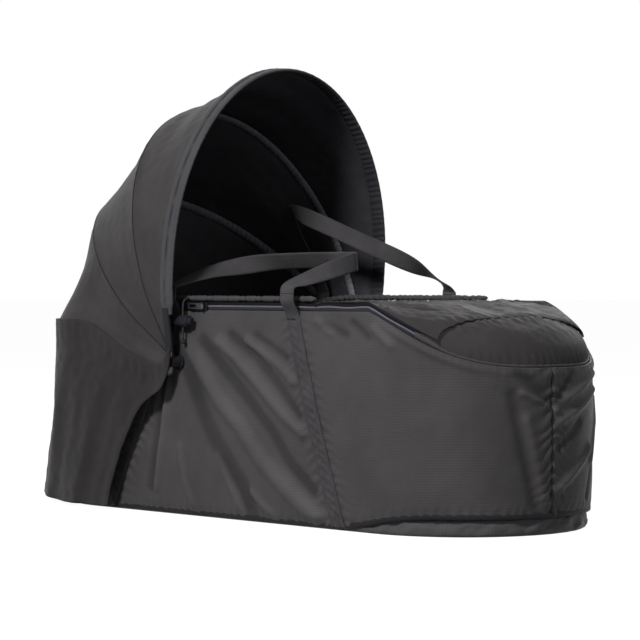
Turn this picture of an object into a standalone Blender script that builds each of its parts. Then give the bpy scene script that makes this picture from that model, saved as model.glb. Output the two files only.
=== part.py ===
"""Soft carrycot with a folding hood on three hoops. Metres, +Z up, +X to the foot, -Y the near side."""

import math

import bmesh
import bpy
from mathutils import Vector

for old_object in list(bpy.data.objects):
    bpy.data.objects.remove(old_object)

NEAR = -1
FAR = 1

# Running gap between pieces that meet
gap = 0.0003

# Body of the cot, seen from above: straight sides, a half-round foot and a squarer head
half_width = 0.150
foot_centre_x = 0.250
head_end_x = -0.368
head_corner_radius = 0.115
panel_thickness = 0.003
panel_belly = 0.004

# Heights of the body panels
wall_top_side = 0.251
wall_top_head = 0.225
wall_top_foot = 0.189
head_drop_start_x = -0.120
head_drop_end_x = -0.250
panel_hem_z = 0.003
panel_hem_foot_z = 0.021
hem_rise_start_x = 0.180
hem_rise_end_x = 0.330

# Stiffened base
base_height = 0.020
base_wall = 0.0018
base_edge_radius = 0.004
base_board_thickness = 0.006
base_strap_thickness = 0.0012

# Padded lining
lining_thickness = 0.005
lining_foot_z = 0.024
lining_top_inset = 0.006

# Mattress
mattress_clearance = 0.012
mattress_thickness = 0.030
mattress_crown = 0.008
mattress_edge_radius = 0.010
mattress_drawn_in = 0.004

# Webbing of the sewn straps and the carry handles
webbing_width = 0.0225
webbing_thickness = 0.0014
strap_foot_z = 0.004
strap_head_foot_x = -0.212
strap_head_top_x = -0.083
strap_head_top_far_x = -0.150
strap_middle_foot_x = 0.203
strap_middle_top_x = 0.127
strap_middle_top_far_x = 0.080
strap_tack_z = 0.243
strap_stand_off = 0.0118
handle_axis_z = 0.272
handle_near_height = 0.109
handle_near_tip_x = 0.138
handle_near_tilt = 70.0
handle_near_bend = 0.045
handle_far_height = 0.145
handle_far_rise_x = 0.030
handle_far_rise = 0.055
handle_far_bend = 0.040
handle_far_tip_x = -0.125
handle_far_tilt = 40.0
handle_bend = 0.006
crease_step = 0.0005
crease_reach = 1.1

# Zip along each side
zip_start_x = -0.060
zip_rise = 0.0095
zip_tape_thickness = 0.0012
zip_tape_inset = 0.0006
zip_coil_height = 0.0016
zip_coil_proud = 0.0008
zip_foot_angle = 26.0
zip_seat = 0.0006
garage_length = 0.028
garage_thickness = 0.0018

# Zip slider and its pull
slider_x = -0.030
slider_length = 0.011
slider_height = 0.0088
slider_plate = 0.0016
slider_ear = 0.0012
pull_pin_radius = 0.0008
pull_knuckle_radius = 0.0020
pull_clearance = 0.0004
pull_length = 0.024
pull_width = 0.0074
pull_thickness = 0.0012
pull_window_length = 0.012
pull_window_width = 0.0036

# Gathered hem round the opening
hem_width = 0.009
hem_height = 0.0078
hem_pleat = 0.0004

# Cover over the foot end, in a flap and a sewn part
flap_front_x = 0.166
flap_fold_x = 0.3343
fold_gap = 0.0006
fold_axis_z = 0.2500
cover_thickness = 0.0022
cover_seat = 0.0008
cover_crest_z = 0.2614
cover_crest_foot_z = 0.2380
flap_hem_radius = 0.0036

# Hood: three flat hoops that turn on one pair of pivots
pivot_x = -0.075
pivot_z = 0.188
hoop_boss = 0.0042
hoop_strip_width = 0.007
hoop_strip_thickness = 0.002
hoop_eye_radius = 0.0068
hoop_spread = 0.0143
hoop_spread_height = 0.100
post_radius = 0.0025
post_clearance = 0.0003
pivot_plate_radius = 0.0095
pivot_plate_thickness = 0.0015
pivot_cap_radius = 0.0060
pivot_cap_thickness = 0.0020
front_hoop_height = 0.363
middle_hoop_height = 0.340
rear_hoop_height = 0.328
front_hoop_leg = 0.120
middle_hoop_leg = 0.110
rear_hoop_leg = 0.100
front_hoop_lean = 4.0
middle_hoop_lean = -21.8
rear_hoop_lean = -50.0

# Sleeves that hold the hoops, and the cloth between them
sleeve_start = 0.036
sleeve_thickness = 0.0042
front_sleeve_width = 0.018
inner_sleeve_width = 0.010
sleeve_bore_clearance = 0.0003
cloth_start = 0.048
cloth_thickness = 0.0016
cloth_gap = 0.0010
cloth_sag = 0.004

# Skirt of the hood, hanging round the head end
skirt_stand_off = 0.0265
skirt_head_stand_off = 0.0080
skirt_flare = 0.034
skirt_thickness = 0.0016
skirt_top_pivot_z = 0.186
skirt_top_head_z = 0.238
skirt_front_top_x = -0.090
skirt_front_foot_x = -0.195
skirt_foot_z = 0.005
skirt_foot_head_z = 0.012
skirt_fold = 0.0045

# Cord lock below the zip on the near side
cord_x = -0.0605
cord_radius = 0.0013
cord_hole_clearance = 0.0005
cord_stop_radius = 0.0030
cord_stop_z = 0.2125
lock_z = 0.2375
lock_radius = 0.0070
lock_length = 0.022
lock_head_length = 0.0105
lock_bore_radius = 0.0052
lock_end_wall = 0.0025
lock_stand_off = 0.0022
button_proud = 0.0055
button_travel = 0.0035
button_clearance = 0.0003
spring_wire_radius = 0.00035
spring_coil_radius = 0.0030
spring_length = 0.0048

# Facets
SHARP_ANGLE = math.radians(40)
FOOT_ARC_STEPS = 17
HEAD_ARC_STEPS = 7
HOOP_LEG_STEPS = 8
HOOP_ARCH_STEPS = 11
GORE_STEPS = 31


def srgb(red, green, blue):
    """Colour as a Principled shader holds it, from 0 to 255 screen values."""
    return tuple((value / 255) ** 2.2 for value in (red, green, blue)) + (1.0,)


def finish(name, colour, roughness, metallic=0.0):
    """One material."""
    material = bpy.data.materials.new(name)
    material.use_nodes = True
    shader = material.node_tree.nodes["Principled BSDF"]
    shader.inputs["Base Color"].default_value = colour
    shader.inputs["Roughness"].default_value = roughness
    shader.inputs["Metallic"].default_value = metallic
    material.diffuse_color = colour
    return material


RIPSTOP = finish("charcoal ripstop", srgb(72, 70, 71), 0.62)
SKIRT_CLOTH = finish("charcoal skirt cloth", srgb(62, 61, 61), 0.66)
BASE_CLOTH = finish("black base cloth", srgb(46, 45, 46), 0.75)
LINING = finish("black lining", srgb(26, 26, 28), 0.85)
WEBBING = finish("charcoal webbing", srgb(70, 69, 69), 0.70)
TAPE = finish("zip tape", srgb(62, 62, 68), 0.65)
PLASTIC = finish("black plastic", srgb(38, 39, 44), 0.42)
STEEL = finish("dark steel", srgb(120, 120, 125), 0.35, 0.9)
BOARD = finish("grey fibre board", srgb(110, 108, 104), 0.85)
TICKING = finish("mattress ticking", srgb(186, 184, 180), 0.80)


def ease(share):
    """Smooth step from 0 to 1."""
    held = min(max(share, 0.0), 1.0)
    return held * held * (3 - 2 * held)


def between(start, end, share):
    """Value on the way from start to end."""
    return start + (end - start) * share


def steps(start, end, count):
    """Even values from start to end, both included."""
    return [between(start, end, i / (count - 1)) for i in range(count)]


def add_piece(name, points, faces, material, origin=(0.0, 0.0, 0.0)):
    """An object from points in the frame of the cot, with its own origin on its joint."""
    base = Vector(origin)
    mesh = bpy.data.meshes.new(name)
    mesh.from_pydata([tuple(Vector(point) - base) for point in points], [], faces)
    edit = bmesh.new()
    edit.from_mesh(mesh)
    bmesh.ops.recalc_face_normals(edit, faces=edit.faces)
    edit.to_mesh(mesh)
    edit.free()
    mesh.materials.append(material)
    mesh.shade_smooth()
    mesh.set_sharp_from_angle(angle=SHARP_ANGLE)
    piece = bpy.data.objects.new(name, mesh)
    piece.location = base
    bpy.context.collection.objects.link(piece)
    return piece


def combine(piece, tool, operation):
    """Joins or cuts a piece with another closed mesh, which is left out of the model."""
    tool.hide_render = True
    tool.display_type = "WIRE"
    modifier = piece.modifiers.new(tool.name, "BOOLEAN")
    modifier.operation = operation
    modifier.solver = "EXACT"
    modifier.object = tool


def shell(name, outer, inner, material, origin=(0.0, 0.0, 0.0), wrap_along=False, wrap_round=False):
    """A closed skin between two grids of points: rows along, columns round."""
    rows, columns = len(outer), len(outer[0])
    points = [point for grid in (outer, inner) for row in grid for point in row]
    shift = rows * columns

    def at(row, column, side):
        return side * shift + (row % rows) * columns + column % columns

    faces = []
    row_cells = rows if wrap_along else rows - 1
    column_cells = columns if wrap_round else columns - 1
    for row in range(row_cells):
        for column in range(column_cells):
            for side in (0, 1):
                faces.append(
                    (
                        at(row, column, side),
                        at(row + 1, column, side),
                        at(row + 1, column + 1, side),
                        at(row, column + 1, side),
                    )
                )
    if not wrap_along:
        for column in range(column_cells):
            for row in (0, rows - 1):
                faces.append(
                    (at(row, column, 0), at(row, column + 1, 0), at(row, column + 1, 1), at(row, column, 1))
                )
    if not wrap_round:
        for row in range(row_cells):
            for column in (0, columns - 1):
                faces.append(
                    (at(row, column, 0), at(row + 1, column, 0), at(row + 1, column, 1), at(row, column, 1))
                )
    return add_piece(name, points, faces, material, origin)


def loft(name, rings, material, origin=(0.0, 0.0, 0.0), closed=False):
    """A solid through closed rings of equally many points, capped at both ends unless it closes on itself."""
    count = len(rings[0])
    points = [point for ring in rings for point in ring]
    cells = len(rings) if closed else len(rings) - 1
    faces = []
    for row in range(cells):
        following = (row + 1) % len(rings)
        for i in range(count):
            j = (i + 1) % count
            faces.append(
                (row * count + i, row * count + j, following * count + j, following * count + i)
            )
    if not closed:
        faces.append(tuple(range(count)))
        faces.append(tuple(range((len(rings) - 1) * count, len(rings) * count)))
    return add_piece(name, points, faces, material, origin)


def sheet_inner(outer, thickness, inward):
    """The inner grid of a skin: each point of the outer grid moved in along its normal."""
    rows, columns = len(outer), len(outer[0])
    inner = []
    for row in range(rows):
        line = []
        for column in range(columns):
            along = Vector(outer[min(row + 1, rows - 1)][column]) - Vector(outer[max(row - 1, 0)][column])
            across = Vector(outer[row][min(column + 1, columns - 1)]) - Vector(outer[row][max(column - 1, 0)])
            normal = along.cross(across).normalized()
            point = Vector(outer[row][column])
            if normal.dot(Vector(inward) - point) < 0:
                normal.negate()
            line.append(tuple(point + normal * thickness))
        inner.append(line)
    return inner


def box(name, low, high, material, origin=(0.0, 0.0, 0.0)):
    """A block between two corners."""
    rings = []
    for x in (low[0], high[0]):
        rings.append(
            [(x, low[1], low[2]), (x, high[1], low[2]), (x, high[1], high[2]), (x, low[1], high[2])]
        )
    return loft(name, rings, material, origin)


def turned(name, centre, axis, profile, material, origin=(0.0, 0.0, 0.0), count=20):
    """A solid of revolution: the profile gives place along the axis and radius."""
    axis = Vector(axis).normalized()
    side = axis.orthogonal().normalized()
    other = axis.cross(side)
    rings = []
    for along, radius in profile:
        ring = []
        for i in range(count):
            angle = 2 * math.pi * i / count
            turn = side * math.cos(angle) + other * math.sin(angle)
            ring.append(tuple(Vector(centre) + axis * along + turn * radius))
        rings.append(ring)
    return loft(name, rings, material, origin)


def tube(name, path, radii, material, origin=(0.0, 0.0, 0.0), count=8):
    """A round solid along a path, with a radius at each point."""
    rings = []
    side = None
    for i, point in enumerate(path):
        ahead = Vector(path[min(i + 1, len(path) - 1)])
        behind = Vector(path[max(i - 1, 0)])
        along = (ahead - behind).normalized()
        side = along.orthogonal() if side is None else side - along * side.dot(along)
        side.normalize()
        other = along.cross(side)
        ring = []
        for j in range(count):
            angle = 2 * math.pi * j / count
            turn = side * math.cos(angle) + other * math.sin(angle)
            ring.append(tuple(Vector(point) + turn * radii[i]))
        rings.append(ring)
    return loft(name, rings, material, origin)


# Outline of the body: each station is a place on the outer wall and the direction out of it


def side_stations(side, start_x, end_x, count):
    """Stations along one straight side."""
    return [((x, side * half_width), (0.0, float(side))) for x in steps(start_x, end_x, count)]


def arc_stations(centre_x, centre_y, radius, start_angle, end_angle, count):
    """Stations round an arc, with angles in degrees from the foot direction."""
    stations = []
    for angle in steps(math.radians(start_angle), math.radians(end_angle), count):
        out = (math.cos(angle), math.sin(angle))
        stations.append(((centre_x + radius * out[0], centre_y + radius * out[1]), out))
    return stations


def foot_stations(start_angle, end_angle, count):
    """Stations round the half-round foot."""
    return arc_stations(foot_centre_x, 0.0, half_width, start_angle, end_angle, count)


def head_stations():
    """Stations round the head end, from the near side to the far side."""
    centre_x = head_end_x + head_corner_radius
    centre_y = half_width - head_corner_radius
    near = arc_stations(centre_x, -centre_y, head_corner_radius, 270, 180, HEAD_ARC_STEPS)
    far = arc_stations(centre_x, centre_y, head_corner_radius, 180, 90, HEAD_ARC_STEPS)
    return near + far


def wall_top(x):
    """Height of the top edge of the body: level at the sides, lower at the head and towards the foot."""
    if x > foot_centre_x:
        share = min((x - foot_centre_x) / half_width, 1.0)
        fall = (math.sin(math.pi / 2 * share) + ease(share)) / 2
        return between(wall_top_side, wall_top_foot, fall)
    return between(wall_top_side, wall_top_head, ease((head_drop_start_x - x) / (head_drop_start_x - head_drop_end_x)))


def wall_foot(x):
    """Height of the lower edge of the body panels, which rises round the foot."""
    return between(panel_hem_z, panel_hem_foot_z, ease((x - hem_rise_start_x) / (hem_rise_end_x - hem_rise_start_x)))


def belly(z):
    """How far the filled wall stands out at a height."""
    share = min(max(z / wall_top_side, 0.0), 1.0)
    return panel_belly * 4 * share * (1 - share)


def wall_point(station, z, inset):
    """A point at a height, a distance inside the outer face of the body wall."""
    (x, y), (out_x, out_y) = station
    move = belly(z) - inset
    return (x + out_x * move, y + out_y * move, z)


def wall_panel(name, stations, material, inset, thickness, foot, top, rows, wrap=False):
    """A curved wall of even thickness that follows the body's outline."""
    outer, inner = [], []
    for station in stations:
        x = station[0][0]
        heights = steps(foot(x), top(x), rows)
        outer.append([wall_point(station, z, inset) for z in heights])
        inner.append([wall_point(station, z, inset + thickness) for z in heights])
    return shell(name, outer, inner, material, wrap_along=wrap)


# Base: a board in a cloth tray, with two load straps between them

base_inset = panel_thickness + gap
head_side_x = head_end_x + head_corner_radius
base_floor = base_wall
strap_floor = base_floor + gap
board_floor = strap_floor + base_strap_thickness + gap


def outline(inset):
    """The closed outline of the body, moved in by an inset."""
    stations = head_stations()
    stations += foot_stations(90, -90, FOOT_ARC_STEPS)
    return [(x - out_x * inset, y - out_y * inset) for (x, y), (out_x, out_y) in stations]


def build_base():
    rounding = [
        (base_edge_radius, 0.0),
        (base_edge_radius * (1 - math.sqrt(0.5)), base_edge_radius * (1 - math.sqrt(0.5))),
        (0.0, base_edge_radius),
        (0.0, base_height),
        (base_wall, base_height),
        (base_wall, base_floor),
    ]
    rings = []
    for inset, z in rounding:
        rings.append([(x, y, z) for x, y in outline(base_inset + inset)])
    loft("base_cover", rings, BASE_CLOTH)
    board_rings = []
    for z in (board_floor, board_floor + base_board_thickness):
        board_rings.append([(x, y, z) for x, y in outline(base_inset + base_wall + gap)])
    loft("base_board", board_rings, BOARD)
    reach = half_width - base_inset - base_wall - gap
    straps = (("base_strap_head", strap_head_foot_x), ("base_strap_foot", strap_middle_foot_x))
    for name, x in straps:
        low = (x - webbing_width / 2, -reach, strap_floor)
        high = (x + webbing_width / 2, reach, strap_floor + base_strap_thickness)
        box(name, low, high, WEBBING)


# Body panels and lining


def build_body():
    side_end_x = foot_centre_x - gap
    side_start_x = head_side_x + gap
    for name, side in (("side_panel_near", NEAR), ("side_panel_far", FAR)):
        stations = side_stations(side, side_start_x, side_end_x, 22)
        wall_panel(name, stations, RIPSTOP, 0.0, panel_thickness, wall_foot, wall_top, 6)
    wall_panel("head_panel", head_stations(), RIPSTOP, 0.0, panel_thickness, wall_foot, wall_top, 6)
    wall_panel("foot_panel", foot_stations(-90, 90, FOOT_ARC_STEPS), RIPSTOP, 0.0, panel_thickness, wall_foot, wall_top, 6)
    inset = panel_thickness + gap
    stations = head_stations()
    stations += side_stations(FAR, side_start_x, side_end_x, 10)
    stations += foot_stations(90, -90, FOOT_ARC_STEPS)
    stations += side_stations(NEAR, side_end_x, side_start_x, 10)
    wall_panel(
        "wall_lining",
        stations,
        LINING,
        inset,
        lining_thickness,
        lambda x: lining_foot_z,
        lambda x: wall_top(x) - lining_top_inset,
        4,
        wrap=True,
    )


# Mattress: a crowned cushion whose sides draw in between its ends


def build_mattress():
    inset = panel_thickness + lining_thickness + mattress_clearance
    plan = [Vector((x, y)) for x, y in outline(inset)]
    middle_x = (head_end_x + foot_centre_x + half_width) / 2
    half_length = (foot_centre_x + half_width - head_end_x) / 2
    floor = board_floor + base_board_thickness + gap
    spread = max(abs(point.y) for point in plan)
    edge = mattress_edge_radius

    def ring(inward, z, crown_share):
        points = []
        for point in plan:
            along = (point.x - middle_x) / half_length
            drawn = mattress_drawn_in * (1 - along * along) * (abs(point.y) / spread)
            length = point.length
            scale = max(1 - (inward + drawn) / length, 0.0)
            across = 1 - (point.y * scale / spread) ** 2
            rise = mattress_crown * crown_share * max(across, 0.0) * (1 - along ** 4 * scale)
            points.append((middle_x + (point.x - middle_x) * scale, point.y * scale, z + rise))
        return points

    top = floor + mattress_thickness
    quarter = edge * (1 - math.sqrt(0.5))
    rings = [
        ring(spread * 0.72, floor, 0.0),
        ring(edge, floor, 0.0),
        ring(quarter, floor + quarter, 0.0),
        ring(0.0, floor + edge, 0.0),
        ring(0.0, top - edge, 0.0),
        ring(quarter, top - quarter, 0.0),
        ring(edge, top, 0.3),
        ring(spread * 0.25, top, 0.7),
        ring(spread * 0.50, top, 0.9),
        ring(spread * 0.72, top, 1.0),
    ]
    loft("mattress", rings, TICKING)


# Sewn straps: webbing laid on the panels, then standing clear of the zip up to the handle


def strap_path(side, foot_x, top_x):
    """Centre line of a sewn strap, as place along the cot, height and distance out of the panel."""
    seat = gap + webbing_thickness / 2
    path = []
    for z in steps(strap_foot_z, strap_tack_z, 8):
        x = between(foot_x, top_x, (z - strap_foot_z) / (strap_tack_z - strap_foot_z))
        path.append((x, side * (half_width + belly(z) + seat), z))
    lift = handle_axis_z - webbing_thickness / 2 - gap - strap_tack_z
    for share, out_share in ((0.22, 0.75), (0.5, 1.0), (1.0, 1.0)):
        out = between(belly(strap_tack_z) + seat, strap_stand_off, out_share)
        path.append((top_x, side * (half_width + out), strap_tack_z + lift * share))
    return path


def ribbon(name, path, width_axis, material, origin=(0.0, 0.0, 0.0)):
    """A flat band along a path, as wide as the webbing along one fixed direction."""
    wide = Vector(width_axis).normalized() * webbing_width / 2
    rings = []
    for i, point in enumerate(path):
        along = Vector(path[min(i + 1, len(path) - 1)]) - Vector(path[max(i - 1, 0)])
        thick = along.cross(wide).normalized() * webbing_thickness / 2
        centre = Vector(point)
        rings.append([tuple(centre + a * wide + b * thick) for a, b in ((-1, -1), (1, -1), (1, 1), (-1, 1))])
    return loft(name, rings, material, origin)


def build_straps():
    lengthwise = (1.0, 0.0, 0.0)
    for side, word in ((NEAR, "near"), (FAR, "far")):
        head_top_x = strap_head_top_x if side == NEAR else strap_head_top_far_x
        head_path = strap_path(side, strap_head_foot_x, head_top_x)
        ribbon("sewn_strap_%s_head" % word, head_path, lengthwise, WEBBING)
        middle_top_x = strap_middle_top_x if side == NEAR else strap_middle_top_far_x
        middle_path = strap_path(side, strap_middle_foot_x, middle_top_x)
        ribbon("sewn_strap_%s_middle" % word, middle_path, lengthwise, WEBBING)


# Carry handles: each one band of webbing, mitred at its tip, on the axis through its two ends


def bent_edges(corners, bends, count):
    """Both edges of a band through corners, the inner edge first; every corner turns to the left."""
    half = webbing_width / 2
    points = [Vector(corner) for corner in corners]
    rays = [(b - a).normalized() for a, b in zip(points, points[1:])]
    inner_sides = [Vector((-ray.y, ray.x)) for ray in rays]
    edges = [(points[0] + inner_sides[0] * half, points[0] - inner_sides[0] * half)]
    for i, bend in enumerate(bends, 1):
        corner, back, ahead = points[i], -rays[i - 1], rays[i]
        if bend > half:
            for step in steps(0, 1, count):
                start, end = corner + back * bend, corner + ahead * bend
                here = start * (1 - step) ** 2 + corner * 2 * step * (1 - step) + end * step ** 2
                inwards = inner_sides[i - 1].slerp(inner_sides[i], step)
                edges.append((here + inwards * half, here - inwards * half))
            continue
        inwards = (back + ahead).normalized()
        heart = corner + inwards * half / math.sin(back.angle(ahead) / 2)
        edges.append((heart + back * crease_step, corner + back * bend - inner_sides[i - 1] * half))
        edges.append((heart, corner - inwards * half * crease_reach))
        edges.append((heart + ahead * crease_step, corner + ahead * bend - inner_sides[i] * half))
    edges.append((points[-1] + inner_sides[-1] * half, points[-1] - inner_sides[-1] * half))
    return edges


def band(name, edges, axis_y, lean, side, material, origin):
    """A flat band between two edges in one plane, which leans inwards from the upright."""
    angle = math.radians(lean)
    up = Vector((0.0, -side * math.sin(angle), math.cos(angle)))
    out = Vector((0.0, side * math.cos(angle), math.sin(angle))) * webbing_thickness / 2
    foot = Vector((0.0, axis_y, handle_axis_z))
    rings = []
    for inner, outer in edges:
        corners = []
        for point, face in ((outer, -1), (inner, -1), (inner, 1), (outer, 1)):
            corners.append(tuple(foot + Vector((point.x, 0.0, 0.0)) + up * max(point.y, 0.0) + out * face))
        rings.append(corners)
    return loft(name, rings, material, origin)


def build_handles():
    reach = half_width + strap_stand_off
    near_corners = [
        (strap_middle_top_x, 0.0),
        (handle_near_tip_x, handle_near_height),
        (strap_head_top_x, handle_near_height),
        (strap_head_top_x, 0.0),
    ]
    near_edges = bent_edges(near_corners, (handle_bend, handle_near_bend), 6)
    middle_x = (strap_middle_top_x + strap_head_top_x) / 2
    near_origin = (middle_x, -reach, handle_axis_z)
    band("handle_near", near_edges, -reach, handle_near_tilt, NEAR, WEBBING, near_origin)
    far_corners = [
        (strap_middle_top_far_x, 0.0),
        (handle_far_rise_x, handle_far_rise),
        (handle_far_tip_x, handle_far_height),
        (strap_head_top_far_x, 0.0),
    ]
    far_edges = bent_edges(far_corners, (handle_far_bend, handle_bend), 6)
    far_origin = (middle_x, reach, handle_axis_z)
    band("handle_far", far_edges, reach, handle_far_tilt, FAR, WEBBING, far_origin)


# Zips: two tapes with a coil each, a cloth garage at the head end, a slider and its pull


def zip_half(name, stations, low_rise, high_rise, coil_at_top):
    """One tape with its half of the coil, a set height above the wall."""
    rings = []
    back = zip_tape_inset + zip_tape_thickness
    coil_low = high_rise - zip_coil_height if coil_at_top else low_rise
    coil_high = high_rise if coil_at_top else low_rise + zip_coil_height
    for station in stations:
        foot = wall_top(station[0][0])
        section = [(back, low_rise), (back, high_rise)]
        if coil_at_top:
            section += [(-zip_coil_proud, coil_high), (-zip_coil_proud, coil_low), (zip_tape_inset, coil_low)]
            section += [(zip_tape_inset, low_rise)]
        else:
            section += [(zip_tape_inset, high_rise), (zip_tape_inset, coil_high)]
            section += [(-zip_coil_proud, coil_high), (-zip_coil_proud, coil_low)]
        rings.append([wall_point(station, foot + rise, inset + belly(foot + rise)) for inset, rise in section])
    return loft(name, rings, TAPE)


zip_middle = zip_rise * 0.5
flap_zip_start_x = flap_front_x


def side_run(side, start_x, end_angle):
    """Stations from a place on one side to an angle round the foot."""
    straight = side_stations(side, start_x, foot_centre_x, 4)
    if side == NEAR:
        return straight + foot_stations(-90, -90 + end_angle, 12)[1:]
    return straight + foot_stations(90, 90 - end_angle, 12)[1:]



def build_zips():
    for side, word in ((NEAR, "near"), (FAR, "far")):
        lower = side_run(side, zip_start_x, zip_foot_angle)
        zip_half("zip_lower_%s" % word, lower, zip_seat, zip_middle - gap / 2, True)
        upper = side_stations(side, zip_start_x, flap_zip_start_x - gap, 3)
        zip_half("zip_upper_%s" % word, upper, zip_middle + gap / 2, zip_rise, False)
        flap = side_run(side, flap_zip_start_x, zip_foot_angle)
        zip_half("flap_zip_%s" % word, flap, zip_middle + gap / 2, zip_rise, False)
        near_y = half_width + zip_coil_proud + gap
        y_range = sorted((side * near_y, side * (near_y + garage_thickness)))
        low = (zip_start_x - garage_length / 2, y_range[0], wall_top_side + gap)
        high = (zip_start_x + garage_length / 2, y_range[1], wall_top_side + zip_rise)
        box("zip_garage_%s" % word, low, high, TAPE)


def build_sliders():
    centre_z = wall_top_side + zip_middle
    for side, word in ((NEAR, "near"), (FAR, "far")):
        face = half_width + zip_coil_proud + gap
        plate_out = face + slider_plate
        pin_y = plate_out + pull_clearance + pull_knuckle_radius
        length = slider_length / 2
        height = slider_height / 2
        nose = height * 0.45
        outline_points = [
            (-length, -nose),
            (-length * 0.4, -height),
            (length * 0.8, -height),
            (length, -height * 0.7),
            (length, height * 0.7),
            (length * 0.8, height),
            (-length * 0.4, height),
            (-length, nose),
        ]
        rings = []
        for y in (face, plate_out):
            rings.append([(slider_x + x, side * y, centre_z + z) for x, z in outline_points])
        slider = loft("zip_slider_%s" % word, rings, STEEL)
        ear_in = pull_width / 2 + pull_clearance
        for way in (-1, 1):
            z_range = sorted((centre_z + way * ear_in, centre_z + way * (ear_in - slider_ear)))
            z_low = centre_z + way * (height - slider_ear) if way > 0 else centre_z - height
            y_range = sorted((side * (plate_out - gap), side * (pin_y + pull_knuckle_radius * 0.7)))
            low = (slider_x - pull_knuckle_radius * 0.8, y_range[0], z_low)
            high = (slider_x + pull_knuckle_radius * 0.8, y_range[1], z_low + slider_ear)
            ear = box("slider_ear_%s_%d" % (word, way), low, high, STEEL)
            combine(slider, ear, "UNION")
        reach = height - slider_ear / 2
        bar = turned(
            "slider_bar_%s" % word,
            (slider_x, side * pin_y, centre_z),
            (0, 0, 1),
            [(-reach, pull_pin_radius), (reach, pull_pin_radius)],
            STEEL,
            count=10,
        )
        combine(slider, bar, "UNION")
        build_pull(side, word, pin_y, centre_z)


def build_pull(side, word, pin_y, centre_z):
    """The pull tab, a knuckle on the slider's bar with a slotted tongue."""
    origin = (slider_x, side * pin_y, centre_z)
    reach = slider_height / 2 - slider_ear - pull_clearance
    pull = turned(
        "zip_pull_%s" % word,
        origin,
        (0, 0, 1),
        [(-reach, pull_knuckle_radius), (reach, pull_knuckle_radius)],
        STEEL,
        origin,
        count=12,
    )
    start = slider_x - pull_knuckle_radius * 0.6
    half = pull_width / 2
    end = start - pull_length
    corner = half * 0.5
    tongue_points = [
        (start, -reach * 0.9),
        (start, reach * 0.9),
        (start - corner * 2, half),
        (end + corner, half),
        (end, half - corner),
        (end, corner - half),
        (end + corner, -half),
        (start - corner * 2, -half),
    ]
    rings = []
    for y in (pin_y - pull_thickness / 2, pin_y + pull_thickness / 2):
        rings.append([(x, side * y, centre_z + z) for x, z in tongue_points])
    tongue = loft("pull_tongue_%s" % word, rings, STEEL)
    combine(pull, tongue, "UNION")
    hole_radius = pull_pin_radius + pull_clearance
    hole = turned(
        "pull_hole_%s" % word,
        origin,
        (0, 0, 1),
        [(-slider_height, hole_radius), (slider_height, hole_radius)],
        STEEL,
        count=10,
    )
    combine(pull, hole, "DIFFERENCE")
    window_end = end + corner
    y_range = sorted((side * (pin_y - pull_knuckle_radius), side * (pin_y + pull_knuckle_radius)))
    low = (window_end, y_range[0], centre_z - pull_window_width / 2)
    high = (window_end + pull_window_length, y_range[1], centre_z + pull_window_width / 2)
    window = box("pull_window_%s" % word, low, high, STEEL)
    combine(pull, window, "DIFFERENCE")


# Gathered hem round the opening: a pleated tube on the zip, and on the wall behind the hood


def hem_foot(x):
    """Height of the underside of the hem above the floor."""
    start = zip_start_x - garage_length / 2
    return wall_top(x) + between(zip_rise, 0.0, ease((start - x) / -head_drop_start_x)) + gap


def build_opening_hem():
    end_x = flap_front_x - 2 * (flap_hem_radius + gap)
    stations = side_stations(NEAR, end_x, head_side_x + gap, 34)
    stations += head_stations()
    stations += side_stations(FAR, head_side_x + gap, end_x, 34)
    rings = []
    for i, (station, out) in enumerate(stations):
        pleat = hem_pleat * (1 if i % 2 else -1)
        base = hem_foot(station[0])
        ring = []
        for j in range(8):
            angle = 2 * math.pi * (j + 0.5) / 8
            across = (hem_width / 2 - abs(hem_pleat) + pleat) * math.cos(angle)
            up = (hem_height / 2 - abs(hem_pleat) + pleat) * math.sin(angle)
            inset = hem_width / 2 - across
            ring.append(
                (station[0] - out[0] * inset, station[1] - out[1] * inset, base + hem_height / 2 + up)
            )
        rings.append(ring)
    loft("opening_hem", rings, RIPSTOP)


# Cover over the foot: one domed surface, split at the fold into a flap and a sewn part


def cover_surface(x, y, rise):
    """Height of the cover's outer face."""
    centre = max(x - foot_centre_x, 0.0)
    spread = min(math.hypot(centre, y) / half_width, 1.0)
    edge = wall_top(x) + rise
    share = max(x - foot_centre_x, 0.0) / half_width
    crest = between(cover_crest_z, cover_crest_foot_z, share)
    return edge + (crest - edge) * math.sqrt(max(1 - spread ** 4, 0.0))


def across_shares(count):
    """Shares from -1 to 1, closer together towards the edges."""
    return [math.sin(math.pi / 2 * share) for share in steps(-1, 1, count)]


def build_flap():
    origin = (flap_fold_x, 0.0, fold_axis_z)
    outer = []
    for x in steps(flap_front_x, flap_fold_x - fold_gap / 2, 23):
        half = math.sqrt(half_width ** 2 - max(x - foot_centre_x, 0.0) ** 2)
        row = []
        for share in across_shares(17):
            y = half * share
            row.append((x, y, cover_surface(x, y, zip_rise + gap)))
        outer.append(row)
    inner = sheet_inner(outer, cover_thickness, (flap_front_x, 0.0, 0.0))
    for i, row in enumerate(inner):
        edge = wall_top(outer[i][0][0]) + zip_rise + gap
        inner[i] = [(p[0], p[1], max(p[2], edge)) for p in row]
        last = len(row) - 1
        for j, way in ((0, 1), (last, -1)):
            x, y, z = outer[i][j]
            inner[i][j] = (x, y + way * cover_thickness, edge)
    shell("foot_flap", outer, inner, RIPSTOP, origin)
    path, radii = [], []
    front = flap_front_x - gap
    count = 31
    for i, share in enumerate(steps(-1, 1, count)):
        y = share * (half_width - flap_hem_radius)
        z = cover_surface(flap_front_x, y, zip_rise + gap)
        path.append((front - flap_hem_radius, y, z - flap_hem_radius / 2))
        radii.append(flap_hem_radius - hem_pleat * (i % 2))
    tube("flap_hem", path, radii, RIPSTOP, origin)


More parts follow.
